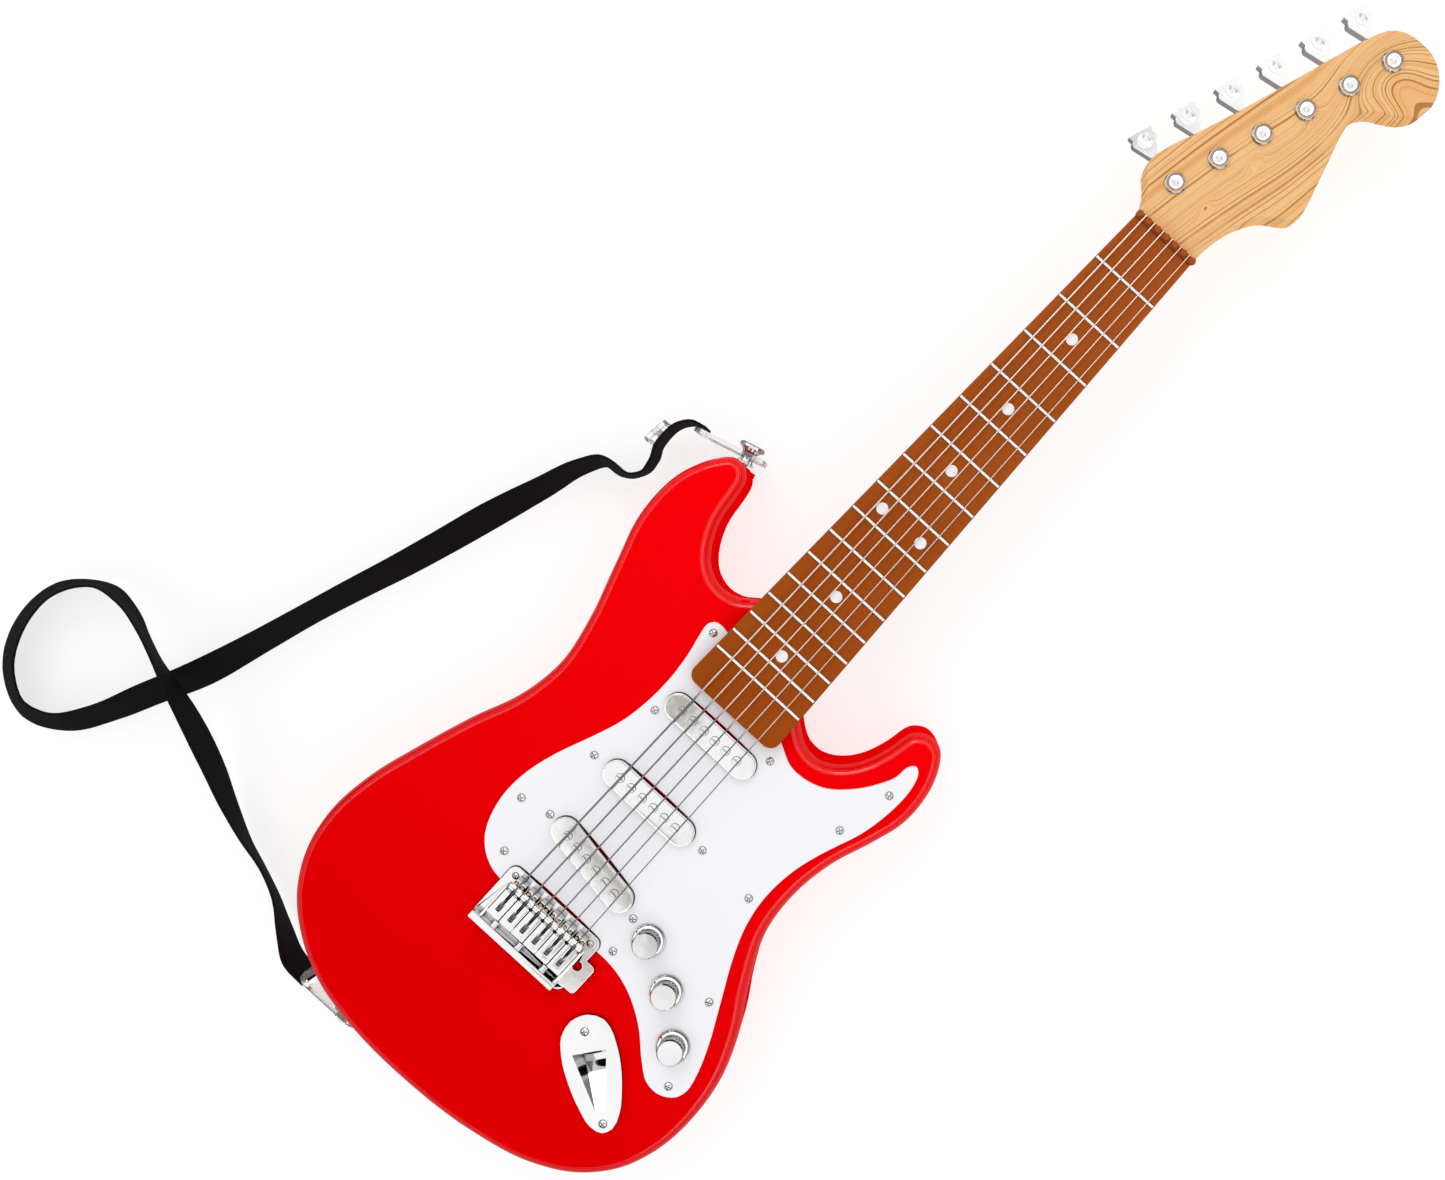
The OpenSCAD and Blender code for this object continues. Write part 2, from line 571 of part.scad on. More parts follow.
module pickup_poles() color("#c9cace") {
    for (p = PICKUPS) translate([p.x, p.y, 0]) rotate(p[2]) for (i = [0 : 5]) difference() {
        post([pole_at(i), 0], 3.9, pickup_top - 2, pickup_top + 0.5);
        translate([pole_at(i) - 2.5, -0.35, pickup_top]) cube([5, 0.7, 1]);
    }
}

module bridge_plate() color("#e9eaec") {
    translate([bridge_x, 0, 0]) difference() {
        union() {
            translate([0, -6, 0]) plate(round_rect(53.4, 29.6, 3.6), body_t, base_z);
            translate([24, -16.6, body_t]) cube([2, 14, 3]);
            translate([28, -9.6, 0]) plate(round_rect(8.4, 15.6, 2), body_t, base_z);
            translate([-26.2, -20.6, base_z - 0.1]) cube([49.4, 3.4, 5.6]);
            for (x = [-14.6, 0, 14.6]) translate([x - 1.2, -17.4, base_z - 0.1]) cube([2.4, 3.6, 5]);
            for (s = [-1, 1]) translate([s * 22.2 - 0.6, -17.4, base_z - 0.1]) cube([1.2, 18, 4.4]);
        }
        post([25.1, -6.3], 4.4, body_t - 1, base_z + 1);
        for (p = BRIDGE_SCREWS) post([p.x - bridge_x, p.y], 2.2, body_t - 1, base_z + 1);
    }
}

module bridge_saddles() color("#eeeff1") {
    for (i = [0 : 5]) translate([saddle_at(i), 0, 0]) difference() {
        union() {
            translate([-3.4, -13, base_z]) cube([6.8, 13, string_z - base_z - 0.8]);
            translate([-2.7, 0, base_z]) cube([5.4, 6.6, string_z - base_z - 1.4]);
            translate([-3.4, 2, string_z - 2.4]) rotate([0, 90, 0]) cylinder(d = 3.6, h = 6.8);
        }
        translate([-1.1, -9.8, base_z + 1.2]) cube([2.2, 4.6, 10]);
        translate([-0.7, -5.4, string_z - 4.4]) cube([1.4, 7.9, 10]);
        for (s = [-1, 1]) post([s * 1.7, 4.9], 1.6, base_z + 2, string_z);
    }
}

module saddle_screws() color("#9a8468") {
    for (i = [0 : 5]) for (s = [-1, 1]) post([saddle_at(i) + s * 1.7, 4.9], 1.5, base_z + 2, string_z - 1);
}

module bridge_screws() color("#d9dade") {
    for (p = BRIDGE_SCREWS) translate([p.x, p.y, base_z]) rotate(p.x) screw(3.4, 1, 2, 7);
}

module jack_plate() color("#e9eaec") {
    difference() {
        union() {
            plate(JACK_LOOP, body_t, guard_z + 0.6);
            at_jack() scoop(1.2);
        }
        at_jack() scoop(0);
        at_jack() translate([0, 0, 0.001]) translate([-20, -20, 0]) cube([60, 40, 5]);
        at_jack() at_socket() translate([0, 0, -10]) cylinder(d = 8.2, h = 20);
        for (p = JACK_SCREWS) post(p, 2.1, body_t - 1, guard_z + 2);
    }
}

// Frame of the jack socket: z runs out through the recess's end wall
module at_socket() {
    translate([JACK_MID * tan(JACK_LEAN), 0, -JACK_MID]) rotate([0, 90 - JACK_LEAN, 0]) children();
}

module jack_socket() color("#3a3b3f") {
    at_jack() at_socket() difference() {
        union() {
            translate([0, 0, -11.6]) cylinder(d = 9.6, h = 10);
            translate([0, 0, -3]) cylinder(d = 8, h = 3.2);
        }
        translate([0, 0, -10]) cylinder(d = 6.4, h = 20);
    }
}

module jack_plate_screws() color("#d9dade") {
    for (p = JACK_SCREWS) translate([p.x, p.y, guard_z + 0.6]) rotate(p.x) screw(4.1, 1.1, 2, 4);
}

// Control knob with a skirt, a gripped side and a stem that turns in its potentiometer
module knob(p) {
    z0 = 0.4;
    translate([p.x, p.y, guard_z]) {
        difference() {
            rotate_extrude() polygon([
                [0, z0], [knob_d / 2, z0], [knob_d / 2, z0 + 1.4], [knob_d / 2 - 0.6, z0 + 2.2], [6.1, z0 + 2.6],
                [6.1, knob_h - 0.8], [5.5, knob_h], [0, knob_h]]);
            for (k = [0 : 23]) rotate(15 * k) translate([6.25, 0, z0 + 2.6]) cylinder(d = 0.8, h = 8, $fn = 16);
            rotate(178) translate([6.75, 0, z0 + 1.6]) cylinder(d = 0.9, h = 3, $fn = 16);
        }
        translate([0, 0, -12]) cylinder(d = 6, h = 12.4 + z0);
    }
}

module knob_volume() color("#e9eaec") knob(KNOBS[0]);
module knob_tone_1() color("#e9eaec") knob(KNOBS[1]);
module knob_tone_2() color("#e9eaec") knob(KNOBS[2]);

module potentiometers() color("#6d7075") {
    for (p = KNOBS) difference() {
        post(p, 16, 25, body_t - wall);
        post(p, 6.8, 27, body_t);
    }
}

// Strap button: flared peg, axis +z from the body's side
module strap_button() {
    difference() {
        rotate_extrude() polygon([
            [0, 0.3], [4.6, 0.3], [3.6, 1.5], [3, 3.2], [3, 5.4], [4.4, 7], [6.2, 8.2], [6.2, 9.4], [5.4, 10], [0, 10]]);
        translate([0, 0, -1]) cylinder(d = 3.3, h = 20);
        translate([0, 0, 8.6]) cylinder(d = 6.2, h = 10);
    }
}

// Puts a strap button or its tab at the horn or the tail
module at_horn() {
    translate(HORN_BUTTON) rotate([-90, 0, HORN_TURN]) children();
}
module at_tail() {
    translate(TAIL_BUTTON) rotate([-90, 0, 180]) children();
}

module strap_button_horn() color("#e9eaec") at_horn() strap_button();
module strap_button_tail() color("#e9eaec") at_tail() strap_button();

module strap_button_screws() color("#8f9196") {
    at_horn() translate([0, 0, 8.6 + eps]) screw(6, 1.2, 3.2, 18);
    at_tail() translate([0, 0, 8.6 + eps]) screw(6, 1.2, 3.2, 18);
}

// Clear plastic strap end with a keyhole for the button and a slot for the webbing
module strap_tab(side) {
    translate([0, 0, 3.3]) difference() {
        translate([side * 9, 0, 0]) linear_extrude(2) polygon(round_rect(36, 25, 6));
        translate([0, 0, -1]) cylinder(d = 6.6, h = 5);
        translate([-side * 6, 0, -1]) cylinder(d = 3, h = 5);
        translate([side * 22, 0, -1]) linear_extrude(5) polygon(round_rect(4, 21, 1.5));
    }
}

module strap_tab_horn() color("#dfe6e8") at_horn() strap_tab(-1);
module strap_tab_tail() color("#dfe6e8") at_tail() strap_tab(1);

module strap_slider() color("#dfe6e8") {
    translate([-113, 194, 15.5]) rotate([90, 0, 84]) difference() {
        translate([0, 0, -1.2]) linear_extrude(2.4) polygon(round_rect(13, 25, 3));
        for (x = [-3.2, 3.2]) translate([x - 1.6, -10.4, -3]) cube([3.2, 20.8, 6]);
    }
}

// Webbing swept along its path; each slice leans as the strap twists
module strap_webbing() color("#131212") {
    path = smooth_open(STRAP, 3);
    n = len(path) - 1;
    rings = [for (i = [0 : n])
        let (q = path[i], a = path[max(0, i - 1)], b = path[min(n, i + 1)],
             t = unit([b.x - a.x, b.y - a.y]), c = [q.x, q.y, q.z],
             across = web_w / 2 * [t.y * cos(q[3]), -t.x * cos(q[3]), sin(q[3])],
             thick = web_t / 2 * [-t.y * sin(q[3]), t.x * sin(q[3]), cos(q[3])])
        [c - across - thick, c - across + thick, c + across + thick, c + across - thick]];
    loft(rings);
}

module speaker_frame() color("#5c5f63") {
    difference() {
        union() {
            post(SPEAKER, SPEAKER_D, wall + 0.1, 5);
            translate([SPEAKER.x, SPEAKER.y, 5]) cylinder(d1 = SPEAKER_D - 4, d2 = 26, h = 8);
            post(SPEAKER, 27, 12.5, 18);
        }
        translate([SPEAKER.x, SPEAKER.y, wall]) cylinder(d1 = SPEAKER_D - 4, d2 = 22, h = 8.4);
    }
}

module speaker_cone() color("#1d1d1f") {
    difference() {
        translate([SPEAKER.x, SPEAKER.y, wall + 0.6]) cylinder(d1 = SPEAKER_D - 6, d2 = 21, h = 7.2);
        translate([SPEAKER.x, SPEAKER.y, wall + 0.5]) cylinder(d1 = SPEAKER_D - 8, d2 = 18, h = 6.6);
    }
}

module circuit_board() color("#1f6b3a") {
    difference() {
        translate([BOARD.x - 28, BOARD.y - 20, 12]) cube([56, 40, 1.6]);
        for (x = [-24, 24]) for (y = [-16, 16]) post(BOARD + [x, y], 2.2, 11, 15);
    }
}

module board_components() color("#232427") {
    translate([BOARD.x, BOARD.y, 13.6]) {
        translate([-7, -7, 0]) cube([14, 14, 2.4]);
        for (y = [-12, -6, 0, 6]) translate([14, y, 0]) cube([3.2, 1.6, 0.9]);
        for (x = [-18, -12]) translate([x, 8, 0]) cylinder(d = 5, h = 6);
        translate([12, 9, 0]) cube([9, 5, 4]);
    }
}

module battery_cells() color("#c9a227") {
    for (i = [-1 : 1]) translate([BATTERY.x + 16 * i, BATTERY.y, 10]) rotate([i == 0 ? 90 : -90, 0, 0]) {
        translate([0, 0, -24.8]) cylinder(d = 14.2, h = 49);
        translate([0, 0, 24.2]) cylinder(d = 5.4, h = 1.4);
    }
}

module battery_contacts() color("#d5d6d8") {
    for (i = [-1 : 1]) for (s = [-1, 1]) translate([BATTERY.x + 16 * i - 5, BATTERY.y + s * 28.4 - 0.3, 4]) {
        cube([10, 0.6, 12]);
        sprung = (i == 0) == (s == 1);
        translate([5, s < 0 ? 0.6 : 0, 6]) rotate([s < 0 ? -90 : 90, 0, 0])
            cylinder(d1 = sprung ? 9 : 6, d2 = sprung ? 5 : 4, h = sprung ? 2.6 : 1.8);
    }
}

module battery_cover() color("#d80710") {
    difference() {
        translate([BATTERY.x, BATTERY.y + 4, 0]) linear_extrude(2)
            polygon(round_rect(BATTERY_BOX.x + 1.8, BATTERY_BOX.y + 11.4, 3.7));
        post(BATTERY + [0, BATTERY_BOX.y / 2 + 6], 2.8, -1, 3);
        post(BATTERY + [0, BATTERY_BOX.y / 2 + 6], 5, -1, 1.1);
        for (k = [0 : 4]) translate([BATTERY.x - 8, BATTERY.y - 24 + 3 * k, -1]) cube([16, 1, 1.5]);
    }
}

module battery_cover_screw() color("#8f9196") {
    translate([BATTERY.x, BATTERY.y + BATTERY_BOX.y / 2 + 6, 1.1 - eps]) rotate([180, 0, 0]) screw(4.6, 1, 2.4, 7);
}

module power_switch_housing() color("#232427") {
    translate([SWITCH.x, SWITCH.y, 0]) difference() {
        translate([-9, -5, wall]) cube([18, 10, 7]);
        translate([-7, -3, wall - 1]) cube([14, 6, 5.4]);
    }
}

module power_switch_slider() color("#232427") {
    translate([SWITCH.x - 2, SWITCH.y, 0]) {
        translate([-4, -2.7, wall + 0.3]) cube([8, 5.4, 3]);
        translate([-2.5, -2.2, 0.3]) cube([5, 4.4, wall + 0.4]);
    }
}

module body_screws() color("#8f9196") {
    for (p = BODY_SCREWS) translate([p.x, p.y, 9 - eps]) rotate([180, 0, 0]) screw(5.6, 1.6, 2.6, 22);
}

// Direction of a wire at point i of its path
function heading(p, i) = let (a = p[max(0, i - 1)], b = p[i], c = p[min(len(p) - 1, i + 1)])
    unit(unit(i > 0 ? b - a : c - b) + unit(i < len(p) - 1 ? c - b : b - a));

// Insulated wire along a list of points, as rings about each point
module wire(points, d) {
    loft([for (i = [0 : len(points) - 1])
        let (t = heading(points, i), u = unit(cross(t, [1, 0.35, 0])), v = cross(t, u))
        [for (a = [0 : 30 : 330]) points[i] + d / 2 * (cos(a) * u + sin(a) * v)]]);
}

module wiring() color("#b3261e") {
    d = 1.2;
    wire([[-24, -40, 19.4], [-10, -44, 21], [4, -48, 21], [4, -48, 14.4]], d);
    wire([[-10, 8, 21.4], [-6, -10, 21.4], [8, -34, 19], [8, -38, 14.4]], d);
    wire([[52, 50, 10.4], [48, 20, 12], [40, -20, 16], [40, -34, 14.4]], d);
    wire([[41.8, 23.3, 24.2], [63.1, 12, 23.4], [81.9, -4.2, 24.2]], d);
    wire([[42, 18, 24.2], [44, -10, 22], [50, -36, 18], [50, -44, 14.4]], d);
}

body_front_shell();
body_back_shell();
pickguard();
pickguard_screws();
neck_back();
fretboard();
frets();
fret_markers();
nut();
strings();
neck_screws();
headstock_face();
headstock_back();
headstock_screws();
tuner_posts();
tuner_peg_1();
tuner_peg_2();
tuner_peg_3();
tuner_peg_4();
tuner_peg_5();
tuner_peg_6();
pickup_cover_neck();
pickup_cover_middle();
pickup_cover_bridge();
pickup_poles();
pickup_screws();
bridge_plate();
bridge_saddles();
saddle_screws();
bridge_screws();
jack_plate();
jack_socket();
jack_plate_screws();
knob_volume();
knob_tone_1();
knob_tone_2();
potentiometers();
strap_button_horn();
strap_button_tail();
strap_button_screws();
strap_tab_horn();
strap_tab_tail();
strap_slider();
strap_webbing();
speaker_frame();
speaker_cone();
circuit_board();
board_components();
battery_cells();
battery_contacts();
battery_cover();
battery_cover_screw();
power_switch_housing();
power_switch_slider();
body_screws();
wiring();
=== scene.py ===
import itertools
import json
import math

import bmesh
import bpy
import numpy as np
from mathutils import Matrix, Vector
from mathutils.geometry import delaunay_2d_cdt


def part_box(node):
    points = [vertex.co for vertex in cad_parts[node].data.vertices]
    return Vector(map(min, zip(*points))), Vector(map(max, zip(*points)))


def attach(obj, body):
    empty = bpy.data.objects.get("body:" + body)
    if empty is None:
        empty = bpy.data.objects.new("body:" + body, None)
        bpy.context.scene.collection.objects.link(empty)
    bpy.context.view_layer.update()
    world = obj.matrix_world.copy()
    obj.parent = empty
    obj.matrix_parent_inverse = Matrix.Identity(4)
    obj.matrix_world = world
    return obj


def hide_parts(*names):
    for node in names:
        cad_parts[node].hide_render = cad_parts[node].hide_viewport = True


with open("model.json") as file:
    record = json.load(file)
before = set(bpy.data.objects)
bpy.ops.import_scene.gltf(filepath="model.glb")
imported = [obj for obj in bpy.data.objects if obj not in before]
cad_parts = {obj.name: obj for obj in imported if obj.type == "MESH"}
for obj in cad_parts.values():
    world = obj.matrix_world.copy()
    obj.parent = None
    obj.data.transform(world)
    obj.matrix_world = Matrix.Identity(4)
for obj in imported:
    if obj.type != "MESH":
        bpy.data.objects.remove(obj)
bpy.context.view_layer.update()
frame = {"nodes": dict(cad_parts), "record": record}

NODES = frame["nodes"]
RECORD = frame["record"]
SLOT_OF = {s["node"]: s["material_slot"] for s in RECORD["subparts"]}
MM = 0.001
JOIN = 2e-6       # vertices nearer than this are one
DOUBLED = 3e-5    # points of an outline nearer than this are one
STRAIGHT = 4e-4   # an outline turning less than this at a point, in radians, is straight there


# ---------------------------------------------------------------- reading shapes from the frame

def joined(name):
    """A CAD node's mesh with its split vertices joined."""
    bm = bmesh.new()
    bm.from_mesh(NODES[name].data)
    bmesh.ops.remove_doubles(bm, verts=bm.verts, dist=JOIN)
    return bm


def chains(edges):
    """Closed loops of points made by a set of edges, longest first."""
    links = {}
    for a, b in edges:
        links.setdefault(a, []).append(b)
        links.setdefault(b, []).append(a)
    loops, seen = [], set()
    for start in links:
        if start in seen:
            continue
        loop, here, last = [], start, None
        while here is not None and here not in seen:
            seen.add(here)
            loop.append(here)
            here, last = next((n for n in links[here] if n != last and n not in seen), None), here
        if len(loop) > 2:
            loops.append(np.array([v.co[:] for v in loop]))
    return sorted(loops, key=len_of, reverse=True)


def len_of(p):
    return np.linalg.norm(np.roll(p, -1, 0) - p, axis=1).sum()


def section(name, z):
    """The outlines of a node cut at height z, longest first, each counter-clockwise."""
    bm = joined(name)
    cut = bmesh.ops.bisect_plane(
        bm, geom=bm.verts[:] + bm.edges[:] + bm.faces[:], dist=1e-7, plane_co=(0, 0, z), plane_no=(0, 0, 1))
    edges = [e.verts[:] for e in cut["geom_cut"] if isinstance(e, bmesh.types.BMEdge)]
    out = [tidy(p[:, :2]) for p in chains(edges)]
    bm.free()
    return out


def area(p):
    q = np.roll(p, -1, 0)
    return 0.5 * float((p[:, 0] * q[:, 1] - q[:, 0] * p[:, 1]).sum())


def tidy(p):
    """A loop without doubled points or points inside a straight run, counter-clockwise."""
    p = p[np.linalg.norm(p - np.roll(p, 1, 0), axis=1) > DOUBLED]
    for _ in range(3):
        a, b = p - np.roll(p, 1, 0), np.roll(p, -1, 0) - p
        cross = np.abs(a[:, 0] * b[:, 1] - a[:, 1] * b[:, 0])
        keep = cross / (np.linalg.norm(a, axis=1) * np.linalg.norm(b, axis=1)) > STRAIGHT
        if keep.all():
            break
        p = p[keep]
    return p if area(p) > 0 else p[::-1]


def spline(p, step, closed=True, corner=32.0):
    """A smooth curve through the points p, with a point about every step.

    Corners sharper than corner degrees stay."""
    p = np.asarray(p, float)
    if closed:
        a, b = p - np.roll(p, 1, 0), np.roll(p, -1, 0) - p
        cosine = (a * b).sum(1) / (np.linalg.norm(a, axis=1) * np.linalg.norm(b, axis=1))
        sharp = np.nonzero(cosine < math.cos(math.radians(corner)))[0]
        if len(sharp):
            p = np.roll(p, -sharp[0], 0)
            marks = list((sharp - sharp[0]) % len(p)) + [len(p)]
            ring = np.vstack([p, p[:1]])
            parts = [spline(ring[i:j + 1], step, False)[:-1] for i, j in zip(marks[:-1], marks[1:])]
            return np.vstack(parts)
        return closed_spline(p, step)
    n = len(p)
    if n < 3:
        k = max(1, int(round(np.linalg.norm(p[-1] - p[0]) / step)))
        return p[0] + (p[-1] - p[0]) * np.linspace(0, 1, k + 1)[:, None]
    h = np.linalg.norm(np.diff(p, axis=0), axis=1)
    m = np.zeros((n, n))
    r = np.zeros((n, p.shape[1]))
    m[0, 0], m[0, 1], m[-1, -1], m[-1, -2] = 2, 1, 2, 1
    r[0], r[-1] = 3 * (p[1] - p[0]) / h[0], 3 * (p[-1] - p[-2]) / h[-1]
    for i in range(1, n - 1):
        m[i, i - 1], m[i, i], m[i, i + 1] = h[i], 2 * (h[i - 1] + h[i]), h[i - 1]
        r[i] = 3 * (h[i] * (p[i] - p[i - 1]) / h[i - 1] + h[i - 1] * (p[i + 1] - p[i]) / h[i])
    return hermite(p, np.linalg.solve(m, r), h, step)


def closed_spline(p, step):
    n = len(p)
    h = np.linalg.norm(np.roll(p, -1, 0) - p, axis=1)
    m = np.zeros((n, n))
    r = np.zeros((n, p.shape[1]))
    for i in range(n):
        a, b = (i - 1) % n, (i + 1) % n
        m[i, a] += h[i]
        m[i, i] += 2 * (h[a] + h[i])
        m[i, b] += h[a]
        r[i] = 3 * (h[i] * (p[i] - p[a]) / h[a] + h[a] * (p[b] - p[i]) / h[i])
    return hermite(np.vstack([p, p[:1]]), np.vstack([(s := np.linalg.solve(m, r)), s[:1]]), h, step)[:-1]


def hermite(p, slopes, h, step):
    out = []
    for i in range(len(p) - 1):
        k = max(1, int(math.ceil(h[i] / step)))
        t = (np.arange(k) / k)[:, None]
        out.append(p[i] * (1 + 2 * t) * (1 - t) ** 2 + slopes[i] * h[i] * t * (1 - t) ** 2
                   + p[i + 1] * t ** 2 * (3 - 2 * t) + slopes[i + 1] * h[i] * t ** 2 * (t - 1))
    return np.vstack(out + [p[-1:]])


def normals2(p):
    """Outward normals of a counter-clockwise loop."""
    t = np.roll(p, -1, 0) - np.roll(p, 1, 0)
    t /= np.linalg.norm(t, axis=1)[:, None]
    return np.stack([t[:, 1], -t[:, 0]], 1)


def inset(p, d, n=None):
    return p - d * (normals2(p) if n is None else n)


def lifted(p, z):
    return np.column_stack([p, np.full(len(p), z)])


# ---------------------------------------------------------------- building meshes

def resharpen(bm, mesh, sharp=34.0):
    """Writes bm to mesh, smooth shaded apart from edges sharper than sharp degrees."""
    limit = math.radians(sharp)
    for f in bm.faces:
        f.smooth = True
    for e in bm.edges:
        e.smooth = len(e.link_faces) == 2 and e.calc_face_angle(0) <= limit
    bm.to_mesh(mesh)
    bm.free()


def weigh(obj):
    """Shades by face size, so that flat faces stay flat next to round edges."""
    mod = obj.modifiers.new("weighted", "WEIGHTED_NORMAL")
    mod.keep_sharp = True
    mod.weight = 80


def obj_from(bm, name, body="guitar", slot=None, replaces=(), material=None, sharp=34.0):
    """Makes a piece from a bmesh: smooth shaded, with edges sharper than sharp degrees kept crisp."""
    bmesh.ops.recalc_face_normals(bm, faces=bm.faces)
    mesh = bpy.data.meshes.new(name)
    resharpen(bm, mesh, sharp)
    obj = bpy.data.objects.new(name, mesh)
    bpy.context.scene.collection.objects.link(obj)
    weigh(obj)
    if material:
        mesh.materials.append(material)
    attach(obj, body)
    if replaces:
        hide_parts(*replaces)
    return obj


def add_ring(bm, pts):
    return [bm.verts.new(tuple(q)) for q in pts]


def strip(bm, a, b, closed=True):
    """Quads between two rows of vertices."""
    n = len(a)
    for i in range(n if closed else n - 1):
        j = (i + 1) % n
        bm.faces.new((a[i], a[j], b[j], b[i]))


def skin(bm, rows, closed=True):
    rings = [add_ring(bm, r) for r in rows]
    for a, b in zip(rings[:-1], rings[1:]):
        strip(bm, a, b, closed)
    return rings


def cap(bm, *rings):
    """Fills the flat area between an outline and its holes with triangles."""
    verts = [v for r in rings for v in r]
    flat = np.array([v.co[:2] for v in verts])
    links, first = [], 0
    for r in rings:
        links += [(first + i, first + (i + 1) % len(r)) for i in range(len(r))]
        first += len(r)
    co, _, faces, source, _, _ = delaunay_2d_cdt([Vector(q) for q in flat / MM], links, [], 0, 1e-7)
    back = [src[0] if src else None for src in source]
    tris = np.array([f for f in faces if len(f) == 3 and all(back[i] is not None for i in f)])
    mid = np.array([(co[a] + co[b] + co[c])[:] for a, b, c in tris]) / 3 * MM
    inside = np.zeros(len(mid), bool)
    for a, b in links:
        (x0, y0), (x1, y1) = flat[a], flat[b]
        span = (y0 > mid[:, 1]) != (y1 > mid[:, 1])
        inside ^= span & (mid[:, 0] < x0 + (mid[:, 1] - y0) * (x1 - x0) / (y1 - y0 if y1 != y0 else 1.0))
    for tri in tris[inside]:
        trio = [verts[back[i]] for i in tri]
        if len(set(trio)) == 3 and not bm.faces.get(trio):
            bm.faces.new(trio)


def ordered(edges):
    """Closed rings of vertices made by a set of edges."""
    links = {}
    for e in edges:
        a, b = e.verts
        links.setdefault(a, []).append(b)
        links.setdefault(b, []).append(a)
    out, seen = [], set()
    for start in links:
        ring, here = [], start
        while here is not None and here not in seen:
            seen.add(here)
            ring.append(here)
            here = next((n for n in links[here] if n not in seen), None)
        if len(ring) > 2:
            out.append(ring)
    return out


FOOT_TOP = 1.9 * MM   # a shell's lowest rim, where every face near the outline belongs to the skin
FOOT_IN = 4.4 * MM
MOST_LEVEL = 0.9999   # faces with a steeper normal than this are level


def level_at(verts, z):
    return all(abs(v.co.z - z) < JOIN for v in verts)


def reshell(name, piece, cut_z, flats, profile, step=1.6 * MM, **kw):
    """Copies a moulded shell's node, with its outer skin rebuilt from a smooth outline.

    flats are the heights of the flat faces that meet the skin.
    profile lists (inset, height) from one flat to the other."""
    bm = joined(name)
    outline = section(name, cut_z)[0]
    h = np.array([q[1] for q in profile])
    d = np.array([q[0] for q in profile])
    order = np.argsort(h)
    seg_a, seg_b = outline, np.roll(outline, -1, 0)

    def depth(co):
        q = np.array(co[:2])
        ab = seg_b - seg_a
        t = np.clip(((q - seg_a) * ab).sum(1) / (ab * ab).sum(1), 0, 1)
        return float(np.min(np.linalg.norm(seg_a + ab * t[:, None] - q, axis=1)))

    on = {}
    for v in bm.verts:
        want = float(np.interp(v.co.z, h[order], d[order]))
        slack = 2.4 if 0.05 * MM < v.co.z < FOOT_TOP else 1.2
        on[v] = abs(depth(v.co) - want) < slack * MM and h.min() - JOIN < v.co.z < h.max() + JOIN
    gone = []
    for f in bm.faces:
        flat = any(level_at(f.verts, z) for z in flats)
        middle = f.calc_center_median()
        foot = 0.01 * MM < middle.z < FOOT_TOP and depth(middle) < FOOT_IN
        if flat or foot or (all(on[v] for v in f.verts) and abs(f.normal.z) < MOST_LEVEL):
            gone.append(f)
    bmesh.ops.delete(bm, geom=gone, context="FACES_KEEP_BOUNDARY")
    alone = [f for f in bm.faces if all(e.is_boundary for e in f.edges)]
    bmesh.ops.delete(bm, geom=alone, context="FACES_KEEP_BOUNDARY")
    loose = [e for e in bm.edges if not e.link_faces]
    bmesh.ops.delete(bm, geom=loose, context="EDGES")
    bmesh.ops.delete(bm, geom=[v for v in bm.verts if not v.link_edges], context="VERTS")
    rim = [e for e in bm.edges if e.is_boundary]
    side_holes = [e for e in rim if not any(level_at(e.verts, z) for z in flats)]
    bmesh.ops.holes_fill(bm, edges=side_holes, sides=0)
    smooth = spline(outline, step)
    n = normals2(smooth)
    rings = skin(bm, [lifted(inset(smooth, a, n), z) for a, z in profile])
    for z, ring in ((profile[0][1], rings[0]), (profile[-1][1], rings[-1])):
        cap(bm, ring, *ordered([e for e in rim if e.is_valid and level_at(e.verts, z)]))
    bmesh.ops.holes_fill(bm, edges=[e for e in bm.edges if e.is_boundary], sides=0)
    return obj_from(bm, piece, replaces=(name,), slot=SLOT_OF[name], **kw)


def quarter(n, d_in, d_down, z, up=1):
    """A rounded edge as (inset, height) from the wall to the flat face."""
    angles = np.linspace(0, math.pi / 2, n + 1)
    return [(d_in * (1 - math.cos(a)), z - up * d_down * (1 - math.sin(a))) for a in angles]


HOLE_ROUND = 0.25 * MM


def replate(loops, z0, z1, round_top, round_low=0.0, steps=4, step=1 * MM, corner=32.0):
    """A plate with smooth outlines and rounded edges; loops[0] is outside and the others are holes."""
    bm = bmesh.new()
    tops, lows = [], []
    for k, p in enumerate(loops):
        q = spline(p, step, corner=corner)
        side = 1 if k == 0 else -1
        n = normals2(q)
        rows = []
        for r, z, up in ((round_low, z0, -1), (round_top, z1, 1)):
            r = r if k == 0 else min(r, HOLE_ROUND)
            arc = quarter(steps, r, r, z, up) if r > 0 else [(0, z)]
            rows += arc[::-1] if up < 0 else arc
        rings = skin(bm, [lifted(inset(q, side * a, n), z) for a, z in rows])
        lows.append(rings[0])
        tops.append(rings[-1])
    cap(bm, *tops)
    cap(bm, *lows)
    return bm


# ---------------------------------------------------------------- materials

